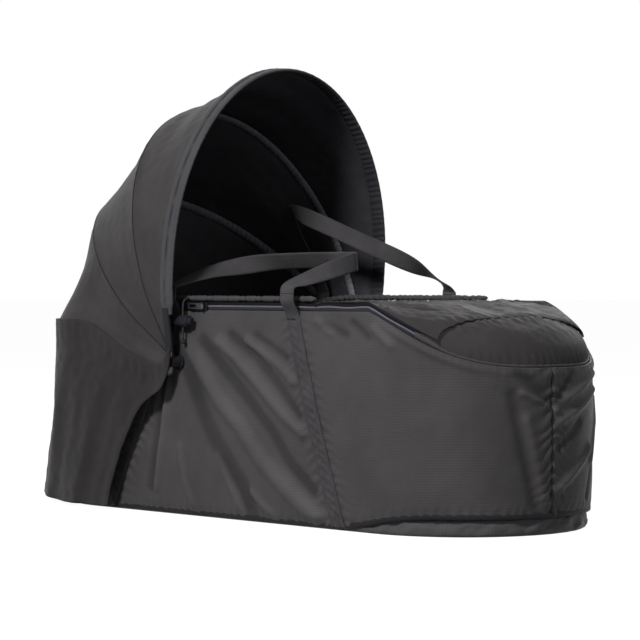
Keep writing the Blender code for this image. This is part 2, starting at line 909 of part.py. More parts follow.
def build_foot_cover():
    start_x = flap_fold_x + fold_gap / 2
    reach = (start_x - foot_centre_x) / half_width
    half_angle = math.acos(reach)
    outer = []
    for along in steps(0, 1, 9):
        row = []
        for share in steps(-0.97, 0.97, 19):
            angle = half_angle * share
            front = (start_x, half_width * math.sin(half_angle) * share)
            rim = (foot_centre_x + half_width * math.cos(angle), half_width * math.sin(angle))
            eased = math.sin(math.pi / 2 * along)
            x = between(front[0], rim[0], eased)
            y = between(front[1], rim[1], eased)
            row.append((x, y, cover_surface(x, y, cover_seat)))
        outer.append(row)
    inner = sheet_inner(outer, cover_thickness, (foot_centre_x, 0.0, 0.0))
    for i, row in enumerate(inner):
        inner[i] = [(max(p[0], start_x), p[1], max(p[2], wall_top(max(p[0], start_x)) + cover_seat)) for p in row]
    shell("foot_cover", outer, inner, RIPSTOP)


# Hood hoops: flat strips bent to an arch, each with an eye at both ends on a shared post

stack_start = half_width + panel_belly - panel_thickness / 6 + pivot_plate_thickness + gap
hoop_pitch = hoop_boss + gap


def eye_centre(order):
    """Distance of a hoop's eye from the middle of the cot: 0 is the rear hoop, 2 the front one."""
    return stack_start + hoop_boss / 2 + order * hoop_pitch


def hoop_width(order):
    """Half width of a hoop above its legs."""
    return eye_centre(order) + hoop_spread


def hoop_path(order, height, leg, start):
    """Half of a hoop from a height above the pivot to the crown, as width and height."""
    points = []
    for up in steps(0, leg, HOOP_LEG_STEPS):
        spread = ease(up / hoop_spread_height)
        points.append((eye_centre(order) + hoop_spread * spread, up))
    for angle in steps(0, math.pi / 2, HOOP_ARCH_STEPS)[1:]:
        points.append((hoop_width(order) * math.cos(angle), leg + (height - leg) * math.sin(angle)))
    above = [i for i in range(len(points)) if points[i][1] > start + gap][0]
    below, first = points[above - 1], points[above]
    share = (start - below[1]) / (first[1] - below[1])
    return [(between(below[0], first[0], share), start)] + points[above:]


def whole_hoop(order, height, leg, start):
    """The whole hoop from the near leg over the crown to the far leg."""
    half = hoop_path(order, height, leg, start)
    near = [(-wide, up) for wide, up in half]
    far = [(wide, up) for wide, up in reversed(half[:-1])]
    return near + far


def hoop_frames(points, lean):
    """Place, outward direction and forward direction at each point of a leaning hoop."""
    angle = math.radians(lean)
    forward = Vector((math.cos(angle), 0.0, -math.sin(angle)))
    frames = []
    for i, (wide, up) in enumerate(points):
        before, after = points[max(i - 1, 0)], points[min(i + 1, len(points) - 1)]
        along = Vector((after[0] - before[0], after[1] - before[1])).normalized()
        out_wide, out_up = -along.y, along.x
        place = Vector((pivot_x + up * math.sin(angle), wide, pivot_z + up * math.cos(angle)))
        out = Vector((out_up * math.sin(angle), out_wide, out_up * math.cos(angle)))
        frames.append((place, out, forward))
    return frames


def hoop_rings(frames, section):
    """Sections along a hoop: each gives distance forward and distance out."""
    rings = []
    for place, out, forward in frames:
        rings.append([tuple(place + forward * a + out * b) for a, b in section])
    return rings


hoops = (
    ("rear", 0, rear_hoop_height, rear_hoop_leg, rear_hoop_lean, inner_sleeve_width),
    ("middle", 1, middle_hoop_height, middle_hoop_leg, middle_hoop_lean, inner_sleeve_width),
    ("front", 2, front_hoop_height, front_hoop_leg, front_hoop_lean, front_sleeve_width),
)


def oval_section(wide, thick):
    """Eight points of a flat rounded section."""
    side = thick * 0.6
    return [
        (-wide + side, -thick),
        (0.0, -thick),
        (wide - side, -thick),
        (wide, 0.0),
        (wide - side, thick),
        (0.0, thick),
        (-wide + side, thick),
        (-wide, 0.0),
    ]


def slot_section(wide, thick):
    """Eight points round a rectangular bore, in step with the oval section."""
    return [
        (-wide, -thick),
        (0.0, -thick),
        (wide, -thick),
        (wide, 0.0),
        (wide, thick),
        (0.0, thick),
        (-wide, thick),
        (-wide, 0.0),
    ]


def build_hoops():
    origin = (pivot_x, 0.0, pivot_z)
    hole_radius = post_radius + post_clearance
    start = (hoop_eye_radius + hole_radius) / 2
    for name, order, height, leg, lean, sleeve_width in hoops:
        frames = hoop_frames(whole_hoop(order, height, leg, start), lean)
        wide, thick = hoop_strip_width / 2, hoop_strip_thickness / 2
        section = [(-wide, -thick), (wide, -thick), (wide, thick), (-wide, thick)]
        hoop = loft("%s_hoop" % name, hoop_rings(frames, section), PLASTIC, origin)
        for side in (NEAR, FAR):
            centre = (pivot_x, side * eye_centre(order), pivot_z)
            half = hoop_boss / 2
            eye = turned(
                "%s_eye_%d" % (name, side),
                centre,
                (0, 1, 0),
                [(-half, hoop_eye_radius), (half, hoop_eye_radius)],
                PLASTIC,
            )
            combine(hoop, eye, "UNION")
            hole = turned(
                "%s_hole_%d" % (name, side),
                centre,
                (0, 1, 0),
                [(-hoop_boss, hole_radius), (hoop_boss, hole_radius)],
                PLASTIC,
            )
            combine(hoop, hole, "DIFFERENCE")
        frames = hoop_frames(whole_hoop(order, height, leg, sleeve_start), lean)
        bore_wide = wide + sleeve_bore_clearance
        bore_thick = thick + sleeve_bore_clearance
        outer = hoop_rings(frames, oval_section(sleeve_width / 2, sleeve_thickness / 2))
        inner = hoop_rings(frames, slot_section(bore_wide, bore_thick))
        word = "hood_rim" if name == "front" else "%s_hoop_sleeve" % name
        shell(word, outer, inner, RIPSTOP if name == "front" else LINING, origin, wrap_round=True)


def build_pivots():
    top = eye_centre(2) + hoop_boss / 2
    plate_in = stack_start - gap - pivot_plate_thickness
    for side, word in ((NEAR, "near"), (FAR, "far")):
        centre = (pivot_x, 0.0, pivot_z)
        profile = [
            (side * plate_in, pivot_plate_radius),
            (side * (plate_in + pivot_plate_thickness), pivot_plate_radius),
            (side * (plate_in + pivot_plate_thickness), post_radius),
            (side * top, post_radius),
        ]
        turned("pivot_plate_%s" % word, centre, (0, 1, 0), profile, PLASTIC, count=24)
        cap_in = top + gap
        dome = pivot_cap_radius * 0.6
        profile = [
            (side * cap_in, pivot_cap_radius),
            (side * (cap_in + pivot_cap_thickness / 2), pivot_cap_radius),
            (side * (cap_in + pivot_cap_thickness), dome),
        ]
        turned("pivot_cap_%s" % word, centre, (0, 1, 0), profile, STEEL)


# Hood cloth: three gores, each stretched between two edges and drawn in a little between them


def cloth_edge(order, height, leg, lean, offset):
    """Points along a hoop's outer face, a set distance in front of it."""
    points = whole_hoop(order, height, leg, cloth_start)
    out = sleeve_thickness / 2
    edge = [place + forward * offset + outward * out for place, outward, forward in hoop_frames(points, lean)]
    return evenly(edge, GORE_STEPS)


def evenly(path, count):
    """As many points as asked for at equal shares of the way along a path."""
    ways = [0.0]
    for before, after in zip(path, path[1:]):
        ways.append(ways[-1] + (after - before).length)
    points = []
    i = 0
    for way in steps(0, ways[-1], count):
        while i < len(path) - 2 and ways[i + 1] < way:
            i += 1
        share = (way - ways[i]) / (ways[i + 1] - ways[i])
        points.append(tuple(path[i].lerp(path[i + 1], min(share, 1.0))))
    return points


def gore(name, front, back, rows, material):
    """Cloth between two edges of equally many points."""
    centre = Vector((pivot_x, 0.0, pivot_z))
    outer = []
    for i in range(len(front)):
        line = []
        for share in steps(0, 1, rows):
            point = Vector(front[i]).lerp(Vector(back[i]), share)
            inward = (centre - point).normalized()
            span = (Vector(front[i]) - Vector(back[i])).length
            sag = min(cloth_sag, span * 0.05) * 4 * share * (1 - share)
            line.append(tuple(point + inward * sag))
        outer.append(line)
    inner = sheet_inner(outer, cloth_thickness, centre)
    return shell(name, outer, inner, material)


def skirt_stations(count, front_x):
    """Places round the skirt from its near front edge to the far one, by equal shares of the way."""
    centre_x = head_end_x + head_corner_radius
    centre_y = half_width - head_corner_radius
    straight = front_x - centre_x
    corner = head_corner_radius * math.pi / 2
    back = centre_y * 2
    whole = straight * 2 + corner * 2 + back
    stations = []
    for share in steps(0, 1, count):
        way = share * whole
        if way < straight:
            station = ((front_x - way, -half_width), (0.0, -1.0))
        elif way < straight + corner:
            angle = math.radians(270) - (way - straight) / head_corner_radius
            out = (math.cos(angle), math.sin(angle))
            station = ((centre_x + head_corner_radius * out[0], head_corner_radius * out[1] - centre_y), out)
        elif way < straight + corner + back:
            station = ((head_end_x, way - straight - corner - centre_y), (-1.0, 0.0))
        elif way < straight + corner * 2 + back:
            angle = math.radians(180) - (way - straight - corner - back) / head_corner_radius
            out = (math.cos(angle), math.sin(angle))
            station = ((centre_x + head_corner_radius * out[0], head_corner_radius * out[1] + centre_y), out)
        else:
            station = ((front_x - (whole - way), half_width), (0.0, 1.0))
        stations.append(station)
    return stations


def skirt_point(station, top_share):
    """A point of the skirt's outer face; 1 is its top seam and 0 its lower edge."""
    (x, y), (out_x, out_y) = station
    towards_head = ease((skirt_front_top_x - x) / (skirt_front_top_x - head_side_x))
    at_head = ease(min(1.6 * out_x * out_x, 1.0))
    stand_off = between(skirt_stand_off, skirt_head_stand_off, at_head)
    stand_off += skirt_flare * (1 - top_share) * at_head
    top_z = between(skirt_top_pivot_z, skirt_top_head_z, towards_head)
    foot_z = between(skirt_foot_z, skirt_foot_head_z, at_head)
    return (x + out_x * stand_off, y + out_y * stand_off, between(foot_z, top_z, top_share))


def build_skirt():
    count, rows = 61, 6
    columns = []
    for top_share in steps(0, 1, rows):
        front_x = between(skirt_front_foot_x, skirt_front_top_x, top_share)
        columns.append([skirt_point(station, top_share) for station in skirt_stations(count, front_x)])
    outer = []
    for i in range(count):
        share = i / (count - 1)
        wave = math.sin(2 * math.pi * 9 * share + 0.6) + 0.5 * math.sin(2 * math.pi * 17 * share + 1.9)
        line = []
        for j in range(rows):
            point = Vector(columns[j][i])
            ahead = Vector(columns[j][min(i + 1, count - 1)])
            behind = Vector(columns[j][max(i - 1, 0)])
            along = ahead - behind
            out = Vector((along.y, -along.x, 0.0)).normalized()
            if out.dot(point - Vector((head_side_x, 0.0, point.z))) < 0:
                out.negate()
            fall = 1 - j / (rows - 1)
            line.append(tuple(point + out * skirt_fold * (wave - 1.5) * 0.5 * ease(fall * 1.4)))
        outer.append(line)
    inner = sheet_inner(outer, skirt_thickness, (head_side_x, 0.0, pivot_z))
    shell("hood_skirt", outer, inner, SKIRT_CLOTH)


def build_hood_cloth():
    rear, middle, front = hoops
    half_rear = rear[5] / 2 + cloth_gap
    half_middle = middle[5] / 2 + cloth_gap
    half_front = front[5] / 2 + cloth_gap
    gore(
        "canopy_front",
        cloth_edge(*front[1:5], -half_front),
        cloth_edge(*middle[1:5], half_middle),
        4,
        RIPSTOP,
    )
    gore(
        "canopy_middle",
        cloth_edge(*middle[1:5], -half_middle),
        cloth_edge(*rear[1:5], half_rear),
        4,
        RIPSTOP,
    )
    edge = cloth_edge(*rear[1:5], -half_rear)
    seam_x = skirt_front_top_x - cloth_start / 2
    seam = [skirt_point(station, 1.0) for station in skirt_stations(len(edge), seam_x)]
    seam = [(x, y, z + skirt_thickness + gap) for x, y, z in seam]
    gore("canopy_rear", edge, seam, 5, RIPSTOP)


# Cord lock: a barrel across the drawcord, with a sprung button that pinches the cord


def build_cord_lock():
    centre_y = -(half_width + lock_stand_off + gap + lock_radius)
    start = cord_x - lock_head_length
    end = start + lock_length
    chamfer = lock_radius * 0.18
    barrel = turned(
        "cord_lock_barrel",
        (0.0, centre_y, lock_z),
        (1, 0, 0),
        [
            (start, lock_radius - chamfer),
            (start + chamfer, lock_radius),
            (end - chamfer, lock_radius),
            (end, lock_radius - chamfer),
        ],
        PLASTIC,
        (cord_x, centre_y, lock_z),
        count=24,
    )
    bore = turned(
        "lock_bore",
        (0.0, centre_y, lock_z),
        (1, 0, 0),
        [(start + lock_end_wall, lock_bore_radius), (end + lock_radius, lock_bore_radius)],
        PLASTIC,
        count=24,
    )
    combine(barrel, bore, "DIFFERENCE")
    hole_radius = cord_radius + cord_hole_clearance
    hole = turned(
        "lock_hole",
        (cord_x, centre_y, lock_z),
        (0, 0, 1),
        [(-lock_radius * 2, hole_radius), (lock_radius * 2, hole_radius)],
        PLASTIC,
        count=12,
    )
    combine(barrel, hole, "DIFFERENCE")
    radius = lock_bore_radius - button_clearance
    button_start = start + lock_end_wall + spring_length + gap
    button_end = end + button_proud
    button = turned(
        "cord_lock_button",
        (0.0, centre_y, lock_z),
        (1, 0, 0),
        [
            (button_start, radius),
            (button_end - chamfer, radius),
            (button_end, radius - chamfer),
        ],
        PLASTIC,
        (button_end, centre_y, lock_z),
        count=24,
    )
    slot_low = (cord_x - hole_radius, centre_y - hole_radius, lock_z - lock_radius * 2)
    slot_high = (cord_x + hole_radius + button_travel, centre_y + hole_radius, lock_z + lock_radius * 2)
    slot = box("button_slot", slot_low, slot_high, PLASTIC)
    combine(button, slot, "DIFFERENCE")
    turns, per_turn = 4, 10
    path = []
    first = start + lock_end_wall + gap + spring_wire_radius
    last = start + lock_end_wall + spring_length - spring_wire_radius
    for i in range(turns * per_turn + 1):
        share = i / (turns * per_turn)
        angle = 2 * math.pi * turns * share
        path.append(
            (
                between(first, last, share),
                centre_y + spring_coil_radius * math.cos(angle),
                lock_z + spring_coil_radius * math.sin(angle),
            )
        )
    tube("cord_lock_spring", path, [spring_wire_radius] * len(path), STEEL, count=6)
    build_drawcord(centre_y)


def build_drawcord(centre_y):
    """The drawcord from the hem down through the lock to the bead on its end."""
    top = hem_foot(cord_x) + hem_height / 2
    hem_face = half_width - hem_width / 2 * (1 - math.cos(math.pi / 8))
    start = Vector((cord_x, -(hem_face + gap), top))
    corner = Vector((cord_x, centre_y, top))
    end = Vector((cord_x, centre_y, top - (abs(centre_y) - hem_face)))
    curve = []
    for step in steps(0, 1, 6):
        point = start * (1 - step) ** 2 + corner * 2 * step * (1 - step) + end * step ** 2
        curve.append(tuple(point))
    bead = cord_stop_radius
    radii = [cord_radius] * len(curve)
    for z, radius in (
        (cord_stop_z + bead * 1.1, cord_radius),
        (cord_stop_z + bead * 0.75, bead * 0.7),
        (cord_stop_z, bead),
        (cord_stop_z - bead * 0.75, bead * 0.7),
        (cord_stop_z - bead, bead * 0.3),
    ):
        curve.append((cord_x, centre_y, z))
        radii.append(radius)
    tube("drawcord", curve, radii, WEBBING)


build_base()
build_body()
build_mattress()
build_straps()
build_handles()
build_zips()
build_sliders()
build_opening_hem()
build_flap()
build_foot_cover()
build_hoops()
build_pivots()
build_skirt()
build_hood_cloth()
build_cord_lock()
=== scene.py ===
"""Carrycot: a soft body on a stiff base, with a folding hood, an apron over the foot and two carry handles."""

import math

import bmesh
import bpy
import numpy as np
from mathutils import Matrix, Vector


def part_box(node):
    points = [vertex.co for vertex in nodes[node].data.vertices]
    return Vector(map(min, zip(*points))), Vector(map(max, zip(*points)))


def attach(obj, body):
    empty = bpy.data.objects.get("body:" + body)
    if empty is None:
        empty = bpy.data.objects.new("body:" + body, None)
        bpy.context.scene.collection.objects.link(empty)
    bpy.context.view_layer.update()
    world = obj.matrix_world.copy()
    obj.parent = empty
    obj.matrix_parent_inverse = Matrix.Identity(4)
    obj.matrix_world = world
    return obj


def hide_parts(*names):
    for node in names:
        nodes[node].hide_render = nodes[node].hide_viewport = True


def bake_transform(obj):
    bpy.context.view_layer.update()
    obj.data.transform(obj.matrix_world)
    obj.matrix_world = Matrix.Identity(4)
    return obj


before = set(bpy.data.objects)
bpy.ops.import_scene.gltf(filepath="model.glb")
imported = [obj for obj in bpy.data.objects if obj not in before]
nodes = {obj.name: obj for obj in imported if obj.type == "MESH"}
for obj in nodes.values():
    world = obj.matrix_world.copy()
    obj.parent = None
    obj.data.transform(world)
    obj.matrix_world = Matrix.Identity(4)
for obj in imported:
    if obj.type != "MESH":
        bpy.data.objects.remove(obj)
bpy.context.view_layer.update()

# Studio: the camera stands a little above the edge of the opening, three metres off the near foot corner.
# Floor and backdrop look white. A small bright lamp in front draws the folds, and four weaker ones
# fill in the head end, the top, the back and the foot.

camera_place = (2.2870, -2.1735, 0.2842)
camera_back = (0.7228, -0.6910)
camera_pitch = math.radians(0.844)
camera_lens = 143.18
lamp_aim = Vector((0.0, 0.0, 0.2))
lamps = (
    ("front_softbox", (0.8, -3.0, 2.4), 0.6, 112.0),
    ("left_fill", (-2.8, -1.8, 1.2), 1.6, 4.0),
    ("overhead", (-0.6, 0.5, 3.0), 2.0, 6.0),
    ("back_fill", (-1.6, 3.2, 1.6), 1.6, 32.0),
    ("front_fill", (2.8, -1.3, 0.9), 1.2, 7.0),
)
floor_reach = 30.0


def feed(tree, node, inputs):
    """Give a node's inputs their values, or link them to other nodes."""
    for key, value in inputs.items():
        if isinstance(value, bpy.types.NodeSocket):
            tree.links.new(value, node.inputs[key])
        else:
            node.inputs[key].default_value = value


def add_node(tree, kind, inputs, **settings):
    """A shader node with its settings and inputs."""
    node = tree.nodes.new("ShaderNode" + kind)
    for key, value in settings.items():
        setattr(node, key, value)
    feed(tree, node, inputs)
    return node


def maths(tree, operation, *values, clamp=False):
    """The result of one sum on sockets or numbers."""
    return add_node(tree, "Math", dict(enumerate(values)), operation=operation, use_clamp=clamp).outputs[0]


def white_to_the_eye(tree, plain, bright):
    """Mix two shaders, so that the bright one is what the camera, gloss and glass see."""
    path = add_node(tree, "LightPath", {}).outputs
    seen = maths(tree, "MAXIMUM", path["Is Camera Ray"], path["Is Glossy Ray"])
    seen = maths(tree, "MAXIMUM", seen, path["Is Transmission Ray"])
    return add_node(tree, "MixShader", {0: seen, 1: plain, 2: bright}).outputs[0]


def bare_tree(holder):
    """The emptied node tree of a world or a material."""
    holder.use_nodes = True
    holder.node_tree.nodes.clear()
    return holder.node_tree


scene = bpy.context.scene
scene.view_settings.view_transform = "Standard"
camera = bpy.data.objects.new("camera", bpy.data.cameras.new("camera"))
camera.data.lens = camera_lens
camera.data.sensor_width = 36.0
camera.location = camera_place
level = math.cos(camera_pitch)
view_line = Vector((-camera_back[0] * level, -camera_back[1] * level, -math.sin(camera_pitch)))
camera.rotation_euler = view_line.to_track_quat("-Z", "Y").to_euler()
bpy.context.collection.objects.link(camera)
scene.camera = camera

for name, place, size, power in lamps:
    lamp = bpy.data.lights.new(name, "AREA")
    lamp.size = size
    lamp.energy = power
    holder = bpy.data.objects.new(name, lamp)
    holder.location = place
    holder.rotation_euler = (lamp_aim - Vector(place)).to_track_quat("-Z", "Y").to_euler()
    bpy.context.collection.objects.link(holder)

scene.world = bpy.data.worlds.new("studio")
sky = bare_tree(scene.world)
dim_sky = add_node(sky, "Background", {"Color": (0.93, 0.95, 1.0, 1.0), "Strength": 0.05}).outputs[0]
white_sky = add_node(sky, "Background", {"Color": (1.0, 1.0, 1.0, 1.0), "Strength": 1.0}).outputs[0]
add_node(sky, "OutputWorld", {"Surface": white_to_the_eye(sky, dim_sky, white_sky)})

floor_paint = bpy.data.materials.new("studio_floor")
paint = bare_tree(floor_paint)
floor_grey = add_node(paint, "BsdfDiffuse", {"Color": (0.24, 0.24, 0.24, 1.0)}).outputs[0]
floor_lift = add_node(paint, "Emission", {"Strength": 0.97}).outputs[0]
floor_both = add_node(paint, "AddShader", {0: floor_grey, 1: floor_lift}).outputs[0]
add_node(paint, "OutputMaterial", {"Surface": white_to_the_eye(paint, floor_grey, floor_both)})
floor_mesh = bpy.data.meshes.new("floor")
floor_corners = [(x * floor_reach, y * floor_reach, 0.0) for x, y in ((-1, -1), (1, -1), (1, 1), (-1, 1))]
floor_mesh.from_pydata(floor_corners, [], [(0, 1, 2, 3)])
floor_mesh.materials.append(floor_paint)
floor = bpy.data.objects.new("floor", floor_mesh)
bpy.context.collection.objects.link(floor)


# Drawcord: a thin round cord that leaves the gathered hem below the zip, runs down through the
# cord lock and ends in its own knot.

cord_x = -0.0605
cord_y = -0.1595
cord_exit = (cord_x, -0.1499, 0.2647)
cord_diameter = 0.0026
knot_z = 0.2125
knot_wide, knot_tall, knot_turns = 0.0017, 0.0016, 2.6


def screen(red, green, blue):
    """A colour from 0 to 255 as a shader holds it."""
    return tuple((value / 255) ** 2.2 for value in (red, green, blue)) + (1.0,)


def shade(colour, share):
    return tuple(part * share for part in colour[:3]) + (1.0,)


def two_tones(tree, mix, colour, low, high):
    """A colour that runs from one shade to another, each given by its place on the ramp and its share."""
    ramp = add_node(tree, "ValToRGB", {"Fac": mix})
    for element, (place, share) in zip(ramp.color_ramp.elements, (low, high)):
        element.position = place
        element.color = shade(colour, share)
    return ramp.outputs["Color"]


def bump(tree, height, distance, strength):
    inputs = {"Height": height, "Distance": distance, "Strength": strength}
    return add_node(tree, "Bump", inputs).outputs["Normal"]


def new_finish(name):
    """A material with its node tree, its shader and the coordinates of the piece that wears it."""
    material = bpy.data.materials.new(name)
    material.use_nodes = True
    tree = material.node_tree
    return material, tree, tree.nodes["Principled BSDF"], add_node(tree, "TexCoord", {}).outputs


def cord_finish(name, colour, roughness, pitch):
    """Plaited cord: slanting strands that stand a little proud."""
    material, tree, shader, place = new_finish(name)
    wave = {"Vector": place["UV"], "Scale": 1.0 / pitch, "Distortion": 1.5}
    strands = add_node(tree, "TexWave", wave, bands_direction="DIAGONAL").outputs
    feed(tree, shader, {
        "Base Color": two_tones(tree, strands["Color"], colour, (0.0, 0.6), (1.0, 1.0)),
        "Normal": bump(tree, strands["Fac"], 0.0003, 0.6),
        "Roughness": roughness,
        "Specular IOR Level": 0.3,
    })
    return material


def mesh_piece(name, points, faces, materials, uvs=None, kinds=None):
    """A smooth-shaded piece from points and faces, with one uv for each point."""
    mesh = bpy.data.meshes.new(name)
    mesh.from_pydata([tuple(map(float, point)) for point in points], [], faces)
    for material in materials:
        mesh.materials.append(material)
    if uvs is not None:
        layer = mesh.uv_layers.new(name="cloth")
        corner = np.empty(len(mesh.loops), dtype=np.int32)
        mesh.loops.foreach_get("vertex_index", corner)
        layer.data.foreach_set("uv", np.asarray(uvs, dtype=np.float32)[corner].ravel())
    if kinds is not None:
        mesh.polygons.foreach_set("material_index", np.asarray(kinds, dtype=np.int32))
    tidy = bmesh.new()
    tidy.from_mesh(mesh)
    bmesh.ops.recalc_face_normals(tidy, faces=tidy.faces)
    tidy.to_mesh(mesh)
    tidy.free()
    mesh.polygons.foreach_set("use_smooth", np.ones(len(mesh.polygons), dtype=bool))
    piece = bpy.data.objects.new(name, mesh)
    bpy.context.collection.objects.link(piece)
    return piece


def way_along(points):
    """How far along a line of points each of them lies."""
    return np.concatenate([[0.0], np.cumsum(np.linalg.norm(np.diff(points, axis=0), axis=1))])


def grid_uvs(along, across):
    return np.stack(np.meshgrid(along, across, indexing="ij"), axis=-1)


def loft(name, rings, materials, closed=False, uvs=None, kinds=None):
    """A solid through closed rings of equally many points, capped at its ends unless it closes on itself."""
    rings = np.asarray(rings, dtype=float)
    count, around = rings.shape[:2]
    faces, marks = [], []
    for i in range(count if closed else count - 1):
        a, b = i * around, ((i + 1) % count) * around
        for j in range(around):
            k = (j + 1) % around
            faces.append((a + j, a + k, b + k, b + j))
            marks.append(0 if kinds is None else kinds[j])
    if not closed:
        faces.append(tuple(range(around)))
        faces.append(tuple((count - 1) * around + j for j in range(around)))
        marks += [0, 0]
    if uvs is None:
        uvs = grid_uvs(way_along(rings.mean(axis=1)), way_along(rings[0]))
    return mesh_piece(name, rings.reshape(-1, 3), faces, materials, uvs.reshape(-1, 2), marks)


def round_steps(count):
    return np.arange(count) * 2 * math.pi / count


def tube_rings(path, radius, around):
    """Rings of a round section along a path."""
    path = np.asarray(path, dtype=float)
    along = np.gradient(path, axis=0)
    along /= np.linalg.norm(along, axis=1, keepdims=True)
    side = np.cross(along[0], (0.31, 0.22, 0.93))
    angle = round_steps(around)
    rings = []
    for place, ray in zip(path, along):
        side = side - ray * side.dot(ray)
        side /= np.linalg.norm(side)
        section = np.outer(np.cos(angle), side) + np.outer(np.sin(angle), np.cross(ray, side))
        rings.append(place + radius * section)
    return np.asarray(rings)


def dress(piece, body, slot, *replaced):
    """Let a piece ride a body and stand for nodes of the frame, which it hides. The slot is not used."""
    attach(piece, body)
    if replaced:
        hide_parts(*replaced)


cord_black = cord_finish("cord_black", screen(44, 44, 48), 0.6, 0.004)
cord_path = [
    cord_exit,
    (cord_x, -0.1535, 0.2645),
    (cord_x, -0.1568, 0.2630),
    (cord_x, -0.1588, 0.2600),
    (cord_x, cord_y, 0.2560),
]
cord_path += [(cord_x, cord_y, z) for z in np.arange(0.2525, 0.2120, -0.0035)]
drawcord = loft("drawcord_run", tube_rings(cord_path, cord_diameter / 2, 12), [cord_black])
dress(drawcord, "cot", "webbing", "drawcord")
turn = np.linspace(0, 2 * math.pi * knot_turns, 60)
knot_x, knot_y = cord_x + knot_wide * np.cos(turn), cord_y + knot_wide * np.sin(turn)
knot_path = np.stack([knot_x, knot_y, knot_z + knot_tall * np.sin(turn * 0.62)], axis=1)
cord_knot = loft("drawcord_knot", tube_rings(knot_path, cord_diameter / 2, 10), [cord_black])
dress(cord_knot, "cot", "webbing")


# Body: grey ripstop nylon in a near, a far and a head panel, seamed down the middle of the foot.
# The cloth is pulled askew by the straps, so long folds fan out below the hood.

half_width = 0.150
foot_centre = 0.250
head_end = -0.368
corner_radius = 0.115
corner_x = head_end + corner_radius
corner_y = half_width - corner_radius
side_length = foot_centre - corner_x
foot_arc = math.pi * half_width
corner_arc = math.pi / 2 * corner_radius
head_flat = 2 * corner_y
body_round = 2 * side_length + foot_arc + 2 * corner_arc + head_flat
side_top, head_top, foot_drop = 0.251, 0.225, 0.062
side_foot, foot_foot = 0.003, 0.021
belly_depth = 0.004
panel_thickness = 0.003
foot_seam = 0.727
seam_gap = 0.0004
head_turn = 0.06


def shell(name, outer, inner, materials, uvs, inner_kind=0, closed=False):
    """A closed sheet between an outer and an inner grid of points."""
    long, wide = outer.shape[:2]
    base = long * wide
    faces, marks = [], []
    for i in range(long if closed else long - 1):
        a, b = i * wide, ((i + 1) % long) * wide
        for j in range(wide - 1):
            faces.append((a + j, b + j, b + j + 1, a + j + 1))
            faces.append((base + a + j, base + a + j + 1, base + b + j + 1, base + b + j))
            marks += [0, inner_kind]
        faces.append((a, base + a, base + b, b))
        faces.append((a + wide - 1, b + wide - 1, base + b + wide - 1, base + a + wide - 1))
        marks += [0, 0]
    if not closed:
        last = (long - 1) * wide
        for j in range(wide - 1):
            faces.append((j, j + 1, base + j + 1, base + j))
            faces.append((last + j, base + last + j, base + last + j + 1, last + j + 1))
            marks += [0, 0]
    points = np.concatenate([outer.reshape(-1, 3), inner.reshape(-1, 3)])
    both = np.concatenate([uvs.reshape(-1, 2), uvs.reshape(-1, 2)])
    return mesh_piece(name, points, faces, materials, both, marks)


def ease(share):
    share = np.clip(share, 0.0, 1.0)
    return share * share * (3 - 2 * share)


def between(start, end, share):
    return start + (end - start) * share


def bell(distance, width, power=2):
    """A smooth bump of height 1, gone a few widths away."""
    return np.exp(-((distance / width) ** power))


def plan(way):
    """Place and outward direction at a way round the body, from the near head corner over the foot."""
    way = np.mod(np.asarray(way, dtype=float), body_round)
    x, y, out_x, out_y = (np.zeros_like(way) for _ in range(4))
    # length of each stretch, centre of its arc, radius, outward direction in half turns, and whether it bends
    stretches = (
        (side_length, corner_x, 0.0, half_width, -0.5, False),
        (foot_arc, foot_centre, 0.0, half_width, -0.5, True),
        (side_length, foot_centre, 0.0, half_width, 0.5, False),
        (corner_arc, corner_x, corner_y, corner_radius, 0.5, True),
        (head_flat, corner_x, corner_y, corner_radius, 1.0, False),
        (corner_arc + 1e-9, corner_x, -corner_y, corner_radius, 1.0, True),
    )
    start = 0.0
    for length, centre_x, centre_y, radius, half_turns, bends in stretches:
        here = (way >= start) & (way <= start + length)
        on = way[here] - start
        angle = math.pi * half_turns + on / radius * bends
        ahead = on * (not bends)
        out_x[here], out_y[here] = np.cos(angle), np.sin(angle)
        x[here] = centre_x + radius * out_x[here] - ahead * out_y[here]
        y[here] = centre_y + radius * out_y[here] + ahead * out_x[here]
        start += length
    return x, y, out_x, out_y


def off_wall(ways, out, z):
    """Points at ways round the body, at distances out of its upright wall and at heights."""
    x, y, out_x, out_y = plan(ways)
    return np.stack([x + out_x * out, y + out_y * out, np.broadcast_to(z, x.shape)], axis=-1)


def wall_top(x):
    """Height of the top edge of the body above the floor."""
    side = between(side_top, head_top, ease((-0.120 - x) / 0.130))
    share = np.clip((x - foot_centre) / half_width, 0.0, 1.0)
    lowered = foot_drop * (np.sin(math.pi / 2 * share) + ease(share)) / 2
    return np.where(x > foot_centre, side_top - lowered, side)


def wall_foot(x):
    return between(side_foot, foot_foot, ease((x - 0.180) / 0.150))


def belly(z):
    """How far the wall bulges at a height."""
    share = np.clip(z / side_top, 0.0, 1.0)
    return belly_depth * 4 * share * (1 - share)


def off_line(along, up, line):
    """Distance from a broken line."""
    nearest = np.full(np.shape(along), 1e9)
    for (a0, b0), (a1, b1) in zip(line, line[1:]):
        da, db = a1 - a0, b1 - b0
        share = np.clip(((along - a0) * da + (up - b0) * db) / (da * da + db * db), 0.0, 1.0)
        nearest = np.minimum(nearest, np.hypot(along - a0 - da * share, up - b0 - db * share))
    return nearest


def ripple(along, up, size, seed, count=7):
    """Smooth unevenness between -1 and 1, with bumps of about one size."""
    dice = np.random.default_rng(seed)
    total = np.zeros(np.shape(along))
    for _ in range(count):
        angle = dice.uniform(0, math.pi)
        pitch = size * dice.uniform(0.7, 1.6)
        phase = dice.uniform(0, 2 * math.pi)
        total += np.sin(2 * math.pi * (along * math.cos(angle) + up * math.sin(angle)) / pitch + phase)
    return total / math.sqrt(count)


